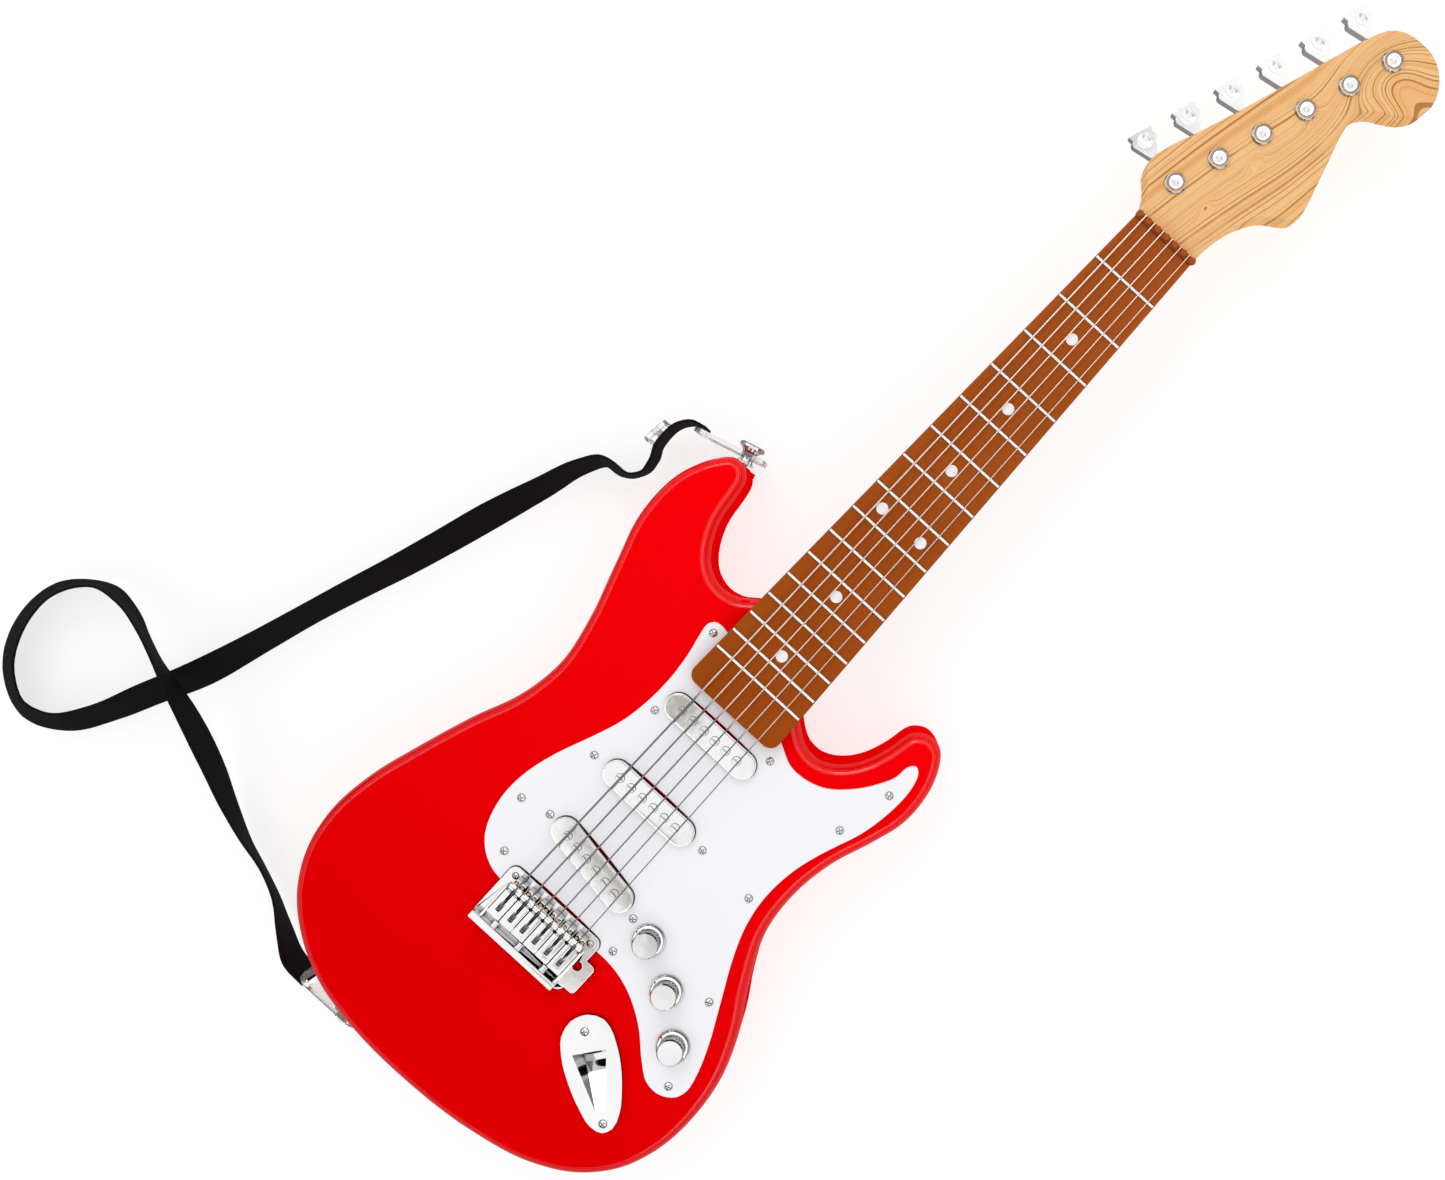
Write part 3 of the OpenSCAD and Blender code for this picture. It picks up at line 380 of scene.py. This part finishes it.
class Graph:
    """A material's nodes, with a short way to add one: inputs by name, a socket links and a value sets."""

    def __init__(self, name):
        self.material = bpy.data.materials.new(name)
        self.material.use_nodes = True
        self.tree = self.material.node_tree
        self.tree.nodes.clear()
        self.out = self.tree.nodes.new("ShaderNodeOutputMaterial")
        self.coord = self.add("TexCoord").outputs["Object"]

    def add(self, kind, inputs=None, **settings):
        node = self.tree.nodes.new("ShaderNode" + kind)
        for k, v in settings.items():
            setattr(node, k, v)
        for k, v in (inputs or {}).items():
            if isinstance(v, bpy.types.NodeSocket):
                self.tree.links.new(v, node.inputs[k])
            else:
                node.inputs[k].default_value = v
        return node

    def math(self, op, a, b=0.0, c=0.0, clamp=False):
        return self.add("Math", {0: a, 1: b, 2: c}, operation=op, use_clamp=clamp).outputs[0]

    def noise(self, scale, detail=3.0, rough=0.5, vector=None, distortion=0.0):
        return self.add("TexNoise", {
            "Vector": vector or self.coord, "Scale": scale, "Detail": detail, "Roughness": rough,
            "Distortion": distortion}).outputs["Fac"]

    def scaled(self, x, y, z, vector=None):
        return self.add("Mapping", {"Vector": vector or self.coord, "Scale": (x, y, z)}).outputs[0]

    def ramp(self, fac, lo, hi, a=0.0, b=1.0):
        values = {"Value": fac, "From Min": lo, "From Max": hi, "To Min": a, "To Max": b}
        return self.add("MapRange", values).outputs[0]

    def mix(self, fac, a, b, blend="MIX"):
        node = self.tree.nodes.new("ShaderNodeMix")
        node.data_type = "RGBA"
        node.blend_type = blend
        for i, v in ((0, fac), (6, a), (7, b)):
            if isinstance(v, bpy.types.NodeSocket):
                self.tree.links.new(v, node.inputs[i])
            else:
                node.inputs[i].default_value = (*v, 1.0) if isinstance(v, tuple) else v
        return node.outputs[2]

    def bump(self, height, strength, distance=0.0002, normal=None):
        inputs = {"Height": height, "Strength": strength, "Distance": distance}
        if normal:
            inputs["Normal"] = normal
        return self.add("Bump", inputs).outputs[0]

    def facing(self):
        return self.add("LayerWeight", {"Blend": 0.5}).outputs["Facing"]

    def axis(self, name, vector=None):
        return self.add("SeparateXYZ", {"Vector": vector or self.coord}).outputs[name]

    def edge_gloss(self, most=0.5):
        """Specular level that is nil on level faces, most on rounded edges and nil on upright walls."""
        level = self.axis("Z", self.add("NewGeometry").outputs["Normal"])
        tilt = self.ramp(level, 0.985, 0.93, 0.0, most)
        return self.math("MULTIPLY", tilt, self.ramp(level, 0.15, 0.5, 0.0, 1.0))

    def finish(self, shader):
        self.tree.links.new(shader, self.out.inputs["Surface"])
        return self.material

    def principled(self, **inputs):
        named = {k.replace("_", " "): v for k, v in inputs.items()}
        return self.finish(self.add("BsdfPrincipled", named).outputs[0])


def srgb(r, g, b):
    """A colour given in screen values, as linear light."""
    return tuple(((c / 255 + 0.055) / 1.055) ** 2.4 if c > 10 else c / 255 / 12.92 for c in (r, g, b))


def plastic(name, colour, dark, gloss=(0.16, 0.26), peel=0.06, fall=None):
    """Moulded plastic: faint colour drift, uneven gloss and a fine moulded texture.

    fall is the colour at the tail end: painted shading that makes the plastic darker there and lighter
    towards the neck."""
    g = Graph(name)
    if fall:
        # Painted shading: the colour runs from fall at the tail end to colour by the neck.
        colour = g.mix(g.ramp(g.axis("Y"), -0.07, 0.19), fall, colour)
        dark = g.mix(0.04, colour, (0.0, 0.0, 0.0))
    tone = g.mix(g.noise(14, 2), dark, colour)
    rough = g.ramp(g.noise(60, 4), 0.3, 0.7, *gloss)
    fine = g.bump(g.noise(900, 2), peel, 0.00005)
    wide = g.bump(g.noise(70, 1), peel, 0.0003, fine)
    return g.principled(Base_Color=tone, Roughness=rough, Normal=wide, Specular_IOR_Level=g.edge_gloss())


def chrome(name, colour=(0.93, 0.93, 0.93), gloss=(0.04, 0.12), scratch=0.03):
    """Metallised plastic: mirror-like, slightly rippled and worn, with painted shade in nooks and painted
    darkening at a slant.
    """
    g = Graph(name)
    wear = g.noise(240, 5, 0.65)
    rough = g.ramp(wear, 0.35, 0.75, *gloss)
    ripple = g.bump(g.noise(160, 1), scratch, 0.0004)
    fine = g.bump(g.noise(1500, 2), 0.03, 0.00003, ripple)
    tone = g.mix(g.ramp(g.noise(35, 3), 0.3, 0.7), tuple(c * 0.93 for c in colour), colour)
    # Painted shade: the colour darkens where the surface is seen at a slant, in place of dark reflections.
    tone = g.mix(g.ramp(g.facing(), 0.35, 0.8, 0.0, 0.75), tone, (0.05, 0.05, 0.05))
    # Painted shade: the colour goes nearly black in nooks and recesses, found by ambient occlusion.
    painted_nook_shade = g.add("AmbientOcclusion", {"Distance": 2.2 * MM}, samples=8).outputs["AO"]
    tone = g.mix(g.ramp(painted_nook_shade, 0.25, 0.72), (0.012, 0.012, 0.012), tone)
    return g.principled(Base_Color=tone, Metallic=1.0, Roughness=rough, Normal=fine)


def build_materials():
    m = {}
    # The red plastic has painted shading: darker at the tail end.
    m["red_plastic"] = plastic(
        "red_plastic", srgb(249, 2, 8), None, gloss=(0.07, 0.13), peel=0.04, fall=srgb(224, 0, 5))
    m["white_plastic"] = plastic(
        "white_plastic", srgb(249, 248, 252), srgb(243, 243, 248), gloss=(0.2, 0.3))
    m["black_plastic"] = plastic(
        "black_plastic", srgb(34, 34, 36), srgb(24, 24, 26), gloss=(0.3, 0.45), peel=0.15)
    m["chrome_plating"] = chrome("chrome_plating")
    m["steel"] = chrome("steel", (0.8, 0.78, 0.77), (0.2, 0.36), 0.06)
    g = Graph("string_wire")
    # Painted light and shade: the strings are painted pale and pinkish over the fretboard and dark grey over
    # the body.
    painted_light_over_board = g.ramp(g.axis("Y"), 0.119, 0.127)
    tone = g.mix(painted_light_over_board, (0.2, 0.2, 0.22), (0.95, 0.76, 0.66))
    tone = g.mix(g.math("MULTIPLY", g.noise(500, 3), 0.3), tone, (0.1, 0.09, 0.09))
    rough = g.ramp(g.noise(300, 3), 0.3, 0.7, 0.22, 0.36)
    m["strings"] = g.principled(Base_Color=tone, Metallic=1.0, Roughness=rough)
    m["frets"] = chrome("fret_wire", (0.96, 0.95, 0.94), (0.12, 0.24), 0.03)
    m["brass_screw"] = chrome("brass_screw", (0.5, 0.36, 0.2), (0.22, 0.38), 0.05)
    g = Graph("brown_plastic")
    # Painted shading: the fretboard is darker at the body end and lighter towards the nut.
    along = g.ramp(g.axis("Y"), 0.12, 0.41)
    tone = g.mix(along, srgb(154, 72, 16), srgb(170, 86, 34))
    speck = g.ramp(g.noise(420, 4, 0.7), 0.3, 0.7)
    tone = g.mix(g.math("MULTIPLY", speck, 0.22), tone, srgb(120, 52, 20))
    blotch = g.ramp(g.noise(24, 3), 0.35, 0.75, 0.0, 0.25)
    tone = g.mix(blotch, tone, srgb(186, 92, 36))
    bump = g.bump(g.noise(1100, 3), 0.22, 0.00006)
    rough = g.ramp(g.noise(90, 4), 0.3, 0.7, 0.34, 0.5)
    m["brown_plastic"] = g.principled(
        Base_Color=tone, Roughness=rough, Normal=bump, Specular_IOR_Level=g.edge_gloss(0.4))
    m["printed_plastic"] = wood_print()
    m["webbing"] = webbing_material()
    m["clear_plastic"] = clear_material()
    m["paper"] = plastic("paper", srgb(40, 38, 36), srgb(28, 27, 26), gloss=(0.75, 0.9), peel=0.4)
    m["board_laminate"] = plastic(
        "board_laminate", srgb(36, 112, 62), srgb(24, 88, 48), gloss=(0.3, 0.42), peel=0.1)
    m["battery_can"] = battery_material()
    m["wire_sleeve"] = plastic(
        "wire_sleeve", srgb(184, 42, 34), srgb(150, 30, 26), gloss=(0.35, 0.5), peel=0.1)
    return m


def wood_print():
    """A printed wood pattern: long grain lines that bend round the headstock's tip, and small knots."""
    g = Graph("printed_plastic")
    lo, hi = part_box("headstock_face")
    tip = Vector((lo.x + (hi.x - lo.x) * 0.68, hi.y - (hi.x - lo.x) * 0.26, 0))
    x, y = g.axis("X"), g.axis("Y")
    wave = g.math("SUBTRACT", g.noise(9, 2, vector=g.scaled(1.6, 0.45, 1)), 0.5)
    field = g.math("ADD", x, g.math("MULTIPLY", wave, 0.03))
    field = g.math("SUBTRACT", field, g.math("MULTIPLY", y, 0.16))

    def swell(field, cx, cy, size, height, stretch=1.0):
        dx = g.math("DIVIDE", g.math("SUBTRACT", x, cx), size)
        dy = g.math("DIVIDE", g.math("SUBTRACT", y, cy), size * stretch)
        r2 = g.math("ADD", g.math("MULTIPLY", dx, dx), g.math("MULTIPLY", dy, dy))
        fall = g.math("EXPONENT", g.math("MULTIPLY", r2, -1.0))
        return g.math("ADD", field, g.math("MULTIPLY", fall, height))

    field = swell(field, tip.x + 0.004, tip.y - 0.002, 0.019, 0.026, 1.1)
    field = swell(field, tip.x + 0.012, tip.y - 0.019, 0.012, -0.012, 0.8)
    for kx, ky, size in ((0.013, 0.036, 0.0035), (0.017, 0.07, 0.0028), (0.02, 0.1, 0.0022)):
        field = swell(field, tip.x - kx, tip.y - ky, size, 0.0045, 1.8)

    def stripes(scale, lo, hi):
        values = {"W": field, "Scale": scale, "Detail": 3.0, "Roughness": 0.6}
        return g.ramp(g.add("TexNoise", values, noise_dimensions="1D").outputs["Fac"], lo, hi)

    tone = g.mix(stripes(110.0, 0.35, 0.7), srgb(248, 202, 144), srgb(236, 178, 116))
    tone = g.mix(g.math("MULTIPLY", stripes(900.0, 0.5, 0.66), 0.45), tone, srgb(214, 152, 90))
    fade = g.ramp(g.noise(26, 3), 0.32, 0.5)
    thin = g.math("MULTIPLY", stripes(640.0, 0.57, 0.61), fade)
    tone = g.mix(g.math("MULTIPLY", thin, 0.8), tone, srgb(168, 106, 54))
    pores = g.ramp(g.noise(700, 3, vector=g.scaled(3, 0.25, 1)), 0.55, 0.72)
    tone = g.mix(g.math("MULTIPLY", pores, 0.25), tone, srgb(198, 138, 80))
    bump = g.bump(g.math("ADD", thin, g.noise(900, 2)), 0.06, 0.00005)
    return g.principled(Base_Color=tone, Roughness=g.ramp(g.noise(70, 3), 0.3, 0.7, 0.3, 0.44), Normal=bump,
                        Specular_IOR_Level=g.edge_gloss(0.4))


def webbing_material():
    """Black grosgrain: dull yarns with paler fuzz."""
    g = Graph("webbing")
    fuzz = g.noise(1600, 4, 0.7)
    tone = g.mix(g.ramp(fuzz, 0.45, 0.8), srgb(11, 11, 12), srgb(26, 26, 28))
    bump = g.bump(fuzz, 0.5, 0.00012)
    return g.principled(Base_Color=tone, Roughness=g.ramp(fuzz, 0.3, 0.7, 0.6, 0.85), Normal=bump,
                        Specular_IOR_Level=0.08)


def clear_material():
    g = Graph("clear_plastic")
    rough = g.ramp(g.noise(120, 4), 0.3, 0.7, 0.03, 0.14)
    bump = g.bump(g.noise(260, 2), 0.06, 0.0002)
    tone = g.mix(g.noise(30, 2), (0.95, 0.97, 0.98), (1.0, 1.0, 1.0))
    return g.principled(Base_Color=tone, Roughness=rough, Normal=bump, Transmission_Weight=0.92, IOR=1.45)


def battery_material():
    g = Graph("battery_can")
    band = g.ramp(g.axis("Y"), 0.0465, 0.0475)
    tone = g.mix(band, srgb(28, 28, 30), srgb(196, 120, 42))
    rough = g.ramp(g.noise(300, 4), 0.3, 0.7, 0.24, 0.4)
    bump = g.bump(g.noise(900, 2), 0.08, 0.00004)
    return g.principled(Base_Color=tone, Metallic=0.7, Roughness=rough, Normal=bump)


MATS = build_materials()


# ---------------------------------------------------------------- CAD nodes that stay

def smooth_group():
    """Geometry nodes: shades smooth, but keeps edges sharper than 32 degrees."""
    group = bpy.data.node_groups.new("smooth_by_angle", "GeometryNodeTree")
    group.interface.new_socket("Geometry", in_out="INPUT", socket_type="NodeSocketGeometry")
    group.interface.new_socket("Geometry", in_out="OUTPUT", socket_type="NodeSocketGeometry")
    n, link = group.nodes, group.links.new
    start, end = n.new("NodeGroupInput"), n.new("NodeGroupOutput")
    faces, edges = n.new("GeometryNodeSetShadeSmooth"), n.new("GeometryNodeSetShadeSmooth")
    angle, over = n.new("GeometryNodeInputMeshEdgeAngle"), n.new("FunctionNodeCompare")
    edges.domain = "EDGE"
    edges.inputs["Shade Smooth"].default_value = False
    over.operation = "GREATER_THAN"
    over.inputs[1].default_value = math.radians(32)
    link(start.outputs[0], faces.inputs[0])
    link(faces.outputs[0], edges.inputs[0])
    link(angle.outputs["Unsigned Angle"], over.inputs[0])
    link(over.outputs[0], edges.inputs["Selection"])
    link(edges.outputs[0], end.inputs[0])
    return group


SMOOTH = smooth_group()



def dress(name, bevel=0.0, segments=2):
    """Finishes a CAD node that stays: joined vertices, softened edges, smooth shading, its material."""
    obj = NODES[name]
    weld = obj.modifiers.new("weld", "WELD")
    weld.merge_threshold = JOIN
    if bevel:
        flat = obj.modifiers.new("flat", "DECIMATE")
        flat.decimate_type = "DISSOLVE"
        flat.angle_limit = math.radians(0.5)
        edge = obj.modifiers.new("edge", "BEVEL")
        edge.width = bevel * MM
        edge.segments = segments
        edge.limit_method = "ANGLE"
        edge.angle_limit = math.radians(40)
        edge.use_clamp_overlap = False
        edge.miter_outer = "MITER_ARC"
    shade = obj.modifiers.new("smooth", "NODES")
    shade.node_group = SMOOTH
    weigh(obj)
    paint(obj, MATS.get(name, MATS[SLOT_OF[name]]))


def paint(obj, material):
    if not obj.material_slots:
        obj.data.materials.append(None)
    for s in obj.material_slots:
        s.link = "OBJECT"
        s.material = material


# Width of the softened edges, in millimetres, of the nodes that have them
BEVELS = {"fretboard": 0.5, "bridge_plate": 0.35, "bridge_saddles": 0.35, "pickup_cover_neck": 0.25,
          "pickup_cover_middle": 0.25, "pickup_cover_bridge": 0.25, "battery_cover": 0.3, "nut": 0.3,
          "strap_slider": 0.4, "power_switch_slider": 0.3, "circuit_board": 0.1, "board_components": 0.15}
BEVELS.update({f"tuner_peg_{i}": 0.3 for i in range(1, 7)})
for node_name in NODES:
    dress(node_name, BEVELS.get(node_name, 0.0))


# ---------------------------------------------------------------- the body's shells, with a smooth skin

body_lo, body_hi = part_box("body_front_shell")
seam = body_lo.z
face = body_hi.z
WALL = 2.6 * MM
EDGE_IN, EDGE_DOWN = 5.5 * MM, 7 * MM   # the rounded edge of the face
BACK_ROUND = 4 * MM
HEEL_PLAY = 0.2 * MM
HEEL_FLOOR = 1.8 * MM                   # the pocket's floor above the seam
SCOOP_AREA = 1e-4                       # openings of the face larger than this are kept, in square metres


def linked(bm, name):
    """Writes bm to a new object in the scene."""
    mesh = bpy.data.meshes.new(name)
    bm.to_mesh(mesh)
    bm.free()
    obj = bpy.data.objects.new(name, mesh)
    bpy.context.scene.collection.objects.link(obj)
    return obj


def heel_cutter():
    """A block of the outline of the neck's heel, from the pocket's floor to above the face."""
    heel = section("neck_back", seam + 6 * MM)[0]
    grown = heel + HEEL_PLAY * np.sign(heel - heel.mean(0))
    bm = bmesh.new()
    rings = skin(bm, [lifted(grown, seam + HEEL_FLOOR), lifted(grown, face + 20 * MM)])
    cap(bm, rings[0])
    cap(bm, rings[-1])
    bmesh.ops.recalc_face_normals(bm, faces=bm.faces)
    return linked(bm, "heel_cut")


def cut_away(obj, cutter):
    """Takes the cutter's shape out of an object's mesh, and removes the cutter."""
    obj.modifiers.clear()
    mod = obj.modifiers.new("cut", "BOOLEAN")
    mod.operation, mod.object, mod.solver = "DIFFERENCE", cutter, "EXACT"
    bpy.context.view_layer.update()
    mesh = bpy.data.meshes.new_from_object(obj.evaluated_get(bpy.context.evaluated_depsgraph_get()))
    obj.modifiers.clear()
    obj.data = mesh
    bpy.data.objects.remove(cutter)
    bm = bmesh.new()
    bm.from_mesh(mesh)
    resharpen(bm, mesh)
    weigh(obj)


def front_shell():
    """The face half of the body: a thin shell with a round edge, open for the neck's heel and the jack."""
    outline = spline(section("body_front_shell", seam + 0.5 * MM)[0], 1.6 * MM)
    n = normals2(outline)
    bm = bmesh.new()
    rounding = [lifted(inset(outline, a, n), z) for a, z in quarter(18, EDGE_IN, EDGE_DOWN, face)]
    outer = skin(bm, [lifted(outline, seam)] + rounding)
    inner = skin(bm, [lifted(inset(outline, WALL, n), z) for z in (seam, face - 9 * MM, face - WALL)])
    holes = [h for h in section("body_front_shell", face - 0.4 * MM)[1:] if abs(area(h)) > SCOOP_AREA]
    walls = [skin(bm, [lifted(h, face - WALL), lifted(h, face)]) for h in holes]
    cap(bm, outer[-1], *[w[-1] for w in walls])
    cap(bm, inner[-1], *[w[0] for w in walls])
    cap(bm, outer[0], inner[0])
    obj = obj_from(bm, "body_front", replaces=("body_front_shell",), slot="red_plastic",
                   material=MATS["red_plastic"])
    cut_away(obj, heel_cutter())


front_shell()
back_rounding = [(a, z) for a, z in reversed(quarter(14, BACK_ROUND, BACK_ROUND, 0.0, -1))]
reshell("body_back_shell", "body_back", seam - 6 * MM, (seam, 0.0), back_rounding + [(0.0, seam)],
        material=MATS["red_plastic"])


# ---------------------------------------------------------------- pickguard and headstock

def rebuilt_plate(node, name, cut_z, round_top, round_low=0.0, **kw):
    """Replaces a flat node by a plate of the outline it has at height cut_z, with rounded edges."""
    lo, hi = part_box(node)
    bm = replate(section(node, cut_z), lo.z, hi.z, round_top, round_low, **kw)
    slot = SLOT_OF[node]
    obj_from(bm, name, slot=slot, replaces=(node,), material=MATS[slot])


AS_IS = 1.0   # a step longer than any side of an outline keeps its own points
guard_lo, guard_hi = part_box("pickguard")
rebuilt_plate("pickguard", "pickguard_plate", (guard_lo.z + guard_hi.z) / 2, 0.5 * MM, step=1.2 * MM)
rebuilt_plate("headstock_face", "headstock_front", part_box("headstock_face")[1].z - 0.5 * MM, 1.3 * MM,
              step=AS_IS, steps=6)
rebuilt_plate("headstock_back", "headstock_rear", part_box("headstock_back")[0].z + 1 * MM, 0.0, 2 * MM,
              step=AS_IS, steps=8)


# ---------------------------------------------------------------- strap webbing

def end_face(bm):
    """The four corners of the ribbon's end with the largest y."""
    ends = []
    for f in bm.faces:
        for e in f.edges:
            mates = [g for g in e.link_faces if g is not f]
            if not mates or f.normal.dot(mates[0].normal) <= MOST_LEVEL:
                continue
            quad = set(f.verts) | set(mates[0].verts)
            beyond = {w for v in quad for link in v.link_edges for w in link.verts} - quad
            if len(quad) == 4 and len(beyond) == 4:
                ends.append(quad)
    return max(ends, key=lambda quad: sum(v.co.y for v in quad))


def swept_rings(name):
    """The four-cornered rings of a swept ribbon, in order, found by walking its mesh from one end."""
    bm = joined(name)
    ring, rings, seen = end_face(bm), [], set()
    while ring:
        rings.append(np.array([v.co[:] for v in ring]))
        seen |= set(ring)
        ring = {w for v in ring for e in v.link_edges for w in e.verts} - seen
    bm.free()
    first = rings[0]
    far = np.linalg.norm(first[:, None] - first[None], axis=2)
    thin = int(np.argsort(far[0])[1])
    near, wide = sorted({1, 2, 3} - {thin}, key=lambda k: far[thin, k])
    out = [first[[0, thin, near, wide]]]
    for pts in rings[1:]:
        orders = [pts[list(order)] for order in itertools.permutations(range(4))]
        out.append(min(orders, key=lambda q: np.linalg.norm(q - out[-1], axis=1).sum()))
    return np.array(out)


def unit_rows(v):
    return v / np.linalg.norm(v, axis=1)[:, None]


def run_length(p):
    """The distance along a line of points from its first one."""
    return np.concatenate([[0], np.cumsum(np.linalg.norm(np.diff(p, axis=0), axis=1))])


RIB = 1.3 * MM           # spacing of the crosswise ribs
RIB_HEIGHT = 0.16 * MM
COLUMNS = 15             # points across each side of the webbing
SELVEDGE = 0.93          # beyond this share of the half width the edge is thinner


def strap_ribbon():
    """The strap: a ribbon along the node's path, with crosswise ribs and thinner edges."""
    rings = swept_rings("strap_webbing")
    mid = rings.mean(1)
    across = (rings[:, 2] + rings[:, 3] - rings[:, 0] - rings[:, 1]) / 2
    width = float(np.median(np.linalg.norm(across, axis=1)))
    thick = float(np.median(np.linalg.norm(rings[:, 1] - rings[:, 0], axis=1)))
    across = unit_rows(across)
    path = spline(mid, 0.5 * MM, False)
    arc_in, arc_out = run_length(mid), run_length(path)
    arc_out *= arc_in[-1] / arc_out[-1]
    side = np.column_stack([np.interp(arc_out, arc_in, across[:, k]) for k in range(3)])
    tangent = unit_rows(np.gradient(path, axis=0))
    side = unit_rows(side - (side * tangent).sum(1)[:, None] * tangent)
    up = np.cross(tangent, side)
    ripple = RIB_HEIGHT * np.abs(np.sin(math.pi * arc_out / RIB))
    columns = np.linspace(-1, 1, COLUMNS)
    rows = []
    for c, face_side in [(c, 1) for c in columns] + [(c, -1) for c in columns[::-1]]:
        edge = abs(c) > SELVEDGE
        core = (thick / 2 - 0.12 * MM) * (0.72 if edge else 1.0)
        height = core + ripple * (0.3 if edge else 1.0)
        rows.append(path + side * (c * width / 2) + up * (face_side * height)[:, None])
    bm = bmesh.new()
    vs = skin(bm, np.stack(rows, 1))
    bm.faces.new(vs[0])
    bm.faces.new(vs[-1][::-1])
    obj_from(bm, "strap_ribbon", slot="webbing", replaces=("strap_webbing",), material=MATS["webbing"],
             sharp=70)


strap_ribbon()


# ---------------------------------------------------------------- stage, light and camera

FLOOR_HALF = 6.0
FLOOR_DROP = 0.4 * MM   # keeps the floor clear of the back's flat face


def pale_floor():
    """A white floor that glows a little, so shadows stay faint; seen from below it is clear."""
    bm = bmesh.new()
    corners = [(-1, -1), (1, -1), (1, 1), (-1, 1)]
    bm.faces.new([bm.verts.new((x * FLOOR_HALF, y * FLOOR_HALF, 0)) for x, y in corners])
    floor = linked(bm, "floor")
    floor.location.z = -FLOOR_DROP
    g = Graph("floor_paint")
    paint_node = g.add("BsdfPrincipled", {
        "Base Color": g.mix(g.noise(6, 3), (0.3, 0.3, 0.298), (0.33, 0.33, 0.328)), "Roughness": 0.9,
        "Specular IOR Level": 0.0, "Emission Color": (1, 1, 1, 1), "Emission Strength": 0.74})
    below = g.add("NewGeometry").outputs["Backfacing"]
    clear = g.add("BsdfTransparent")
    mixed = g.add("MixShader", {0: below, 1: paint_node.outputs[0], 2: clear.outputs[0]})
    floor.data.materials.append(g.finish(mixed.outputs[0]))
    floor.visible_glossy = False


# Brightness by height, from 0 straight down to 1 straight up, that mirror-like surfaces reflect
MIRROR = ((0.0, 0.4), (0.49, 0.32), (0.5, 0.02), (0.55, 0.03), (0.58, 0.6), (0.66, 0.7), (0.69, 0.1),
          (0.72, 0.1), (0.76, 0.5), (0.785, 2.6), (0.81, 2.6), (0.83, 0.8), (0.9, 1.1), (1.0, 1.0))
PATCH_GREY = (0.3, 0.27, 0.22, 1)
SKY_LOW, SKY_HIGH, SKY_TOP = 0.5, 0.93, 0.55


def grey_ramp(ramp, stops):
    """Sets a colour ramp to greys at given positions."""
    ramp.elements[0].position, ramp.elements[1].position = stops[0][0], stops[-1][0]
    for position, _ in stops[1:-1]:
        ramp.elements.new(position)
    for element, (_, value) in zip(ramp.elements, stops):
        element.color = (value, value, value, 1)


def studio():
    """Soft even light for matt surfaces, and striped surroundings with grey patches for mirror-like ones."""
    world = bpy.data.worlds.new("studio")
    bpy.context.scene.world = world
    world.use_nodes = True
    tree = world.node_tree
    tree.nodes.clear()

    def add(kind, inputs):
        node = tree.nodes.new("ShaderNode" + kind)
        for k, v in inputs.items():
            if isinstance(v, bpy.types.NodeSocket):
                tree.links.new(v, node.inputs[k])
            else:
                node.inputs[k].default_value = v
        return node

    coord = add("TexCoord", {}).outputs["Generated"]
    height = add("SeparateXYZ", {"Vector": coord}).outputs["Z"]
    sky = add("ValToRGB", {"Fac": height})
    grey_ramp(sky.color_ramp, ((0.0, SKY_LOW), (SKY_TOP, SKY_HIGH)))
    mirror = add("ValToRGB", {"Fac": add("MapRange", {"Value": height, 1: -1.0, 2: 1.0}).outputs[0]})
    grey_ramp(mirror.color_ramp, MIRROR)
    cloud = add("TexNoise", {"Vector": coord, "Scale": 7.0, "Detail": 3.0, "Distortion": 0.6})
    patches = cloud.outputs["Fac"]
    overhead = add("MapRange", {"Value": height, 1: 0.9, 2: 0.94, 3: 0.0, 4: 0.75}).outputs[0]
    mask = add("MapRange", {"Value": patches, 1: 0.54, 2: 0.58, 3: 0.0, 4: overhead}).outputs[0]
    patched = add("MixRGB", {0: mask, 1: mirror.outputs[0], 2: PATCH_GREY})
    glossy = add("LightPath", {}).outputs["Is Glossy Ray"]
    seen = add("MixRGB", {0: glossy, 1: sky.outputs[0], 2: patched.outputs[0]})
    back = add("Background", {"Color": seen.outputs[0], "Strength": 1.0})
    add("OutputWorld", {"Surface": back.outputs[0]})


def area_light(name, place, size, power):
    """A square light aimed at the middle of the guitar."""
    data = bpy.data.lights.new(name, "AREA")
    data.size = size
    data.energy = power
    obj = bpy.data.objects.new(name, data)
    obj.location = place
    obj.rotation_euler = (Vector((0, 0.2, 0)) - Vector(place)).to_track_quat("-Z", "Y").to_euler()
    bpy.context.scene.collection.objects.link(obj)


FRAME_W = 1445              # width of the picture, in pixels
SCALE = 0.45 * MM           # one pixel at the body's face
EYE = 0.56                  # the camera's height above the face
SENSOR = 36.0
RIGHT = Vector((0.7377, 0.6751, 0)).normalized()    # the picture's rightward direction
UP = Vector((-RIGHT.y, RIGHT.x, 0))
BELOW_EYE = Vector((0.0074, 0.208, 0))              # the point straight below the camera
CENTRE = Vector((-0.040, 0.1616, 0))                # the point in the middle of the picture


def camera():
    """Looks straight down from above the neck, shifted so that the whole guitar is in the picture."""
    data = bpy.data.cameras.new("camera")
    cam = bpy.data.objects.new("camera", data)
    bpy.context.scene.collection.objects.link(cam)
    data.sensor_width = SENSOR
    data.lens = EYE / SCALE * SENSOR / FRAME_W
    data.shift_x = (CENTRE - BELOW_EYE).dot(RIGHT) / SCALE / FRAME_W
    data.shift_y = (CENTRE - BELOW_EYE).dot(UP) / SCALE / FRAME_W
    data.clip_start = 0.01
    cam.location = (BELOW_EYE.x, BELOW_EYE.y, face + EYE)
    cam.rotation_euler = (0, 0, math.atan2(RIGHT.y, RIGHT.x))
    bpy.context.scene.camera = cam
    bpy.context.scene.view_settings.view_transform = "Standard"
    bpy.context.scene.view_settings.look = "None"


pale_floor()
studio()
area_light("key", (-1.1, 1.0, 1.4), 0.9, 5)
area_light("fill", (1.2, -0.6, 1.3), 0.9, 2)
camera()
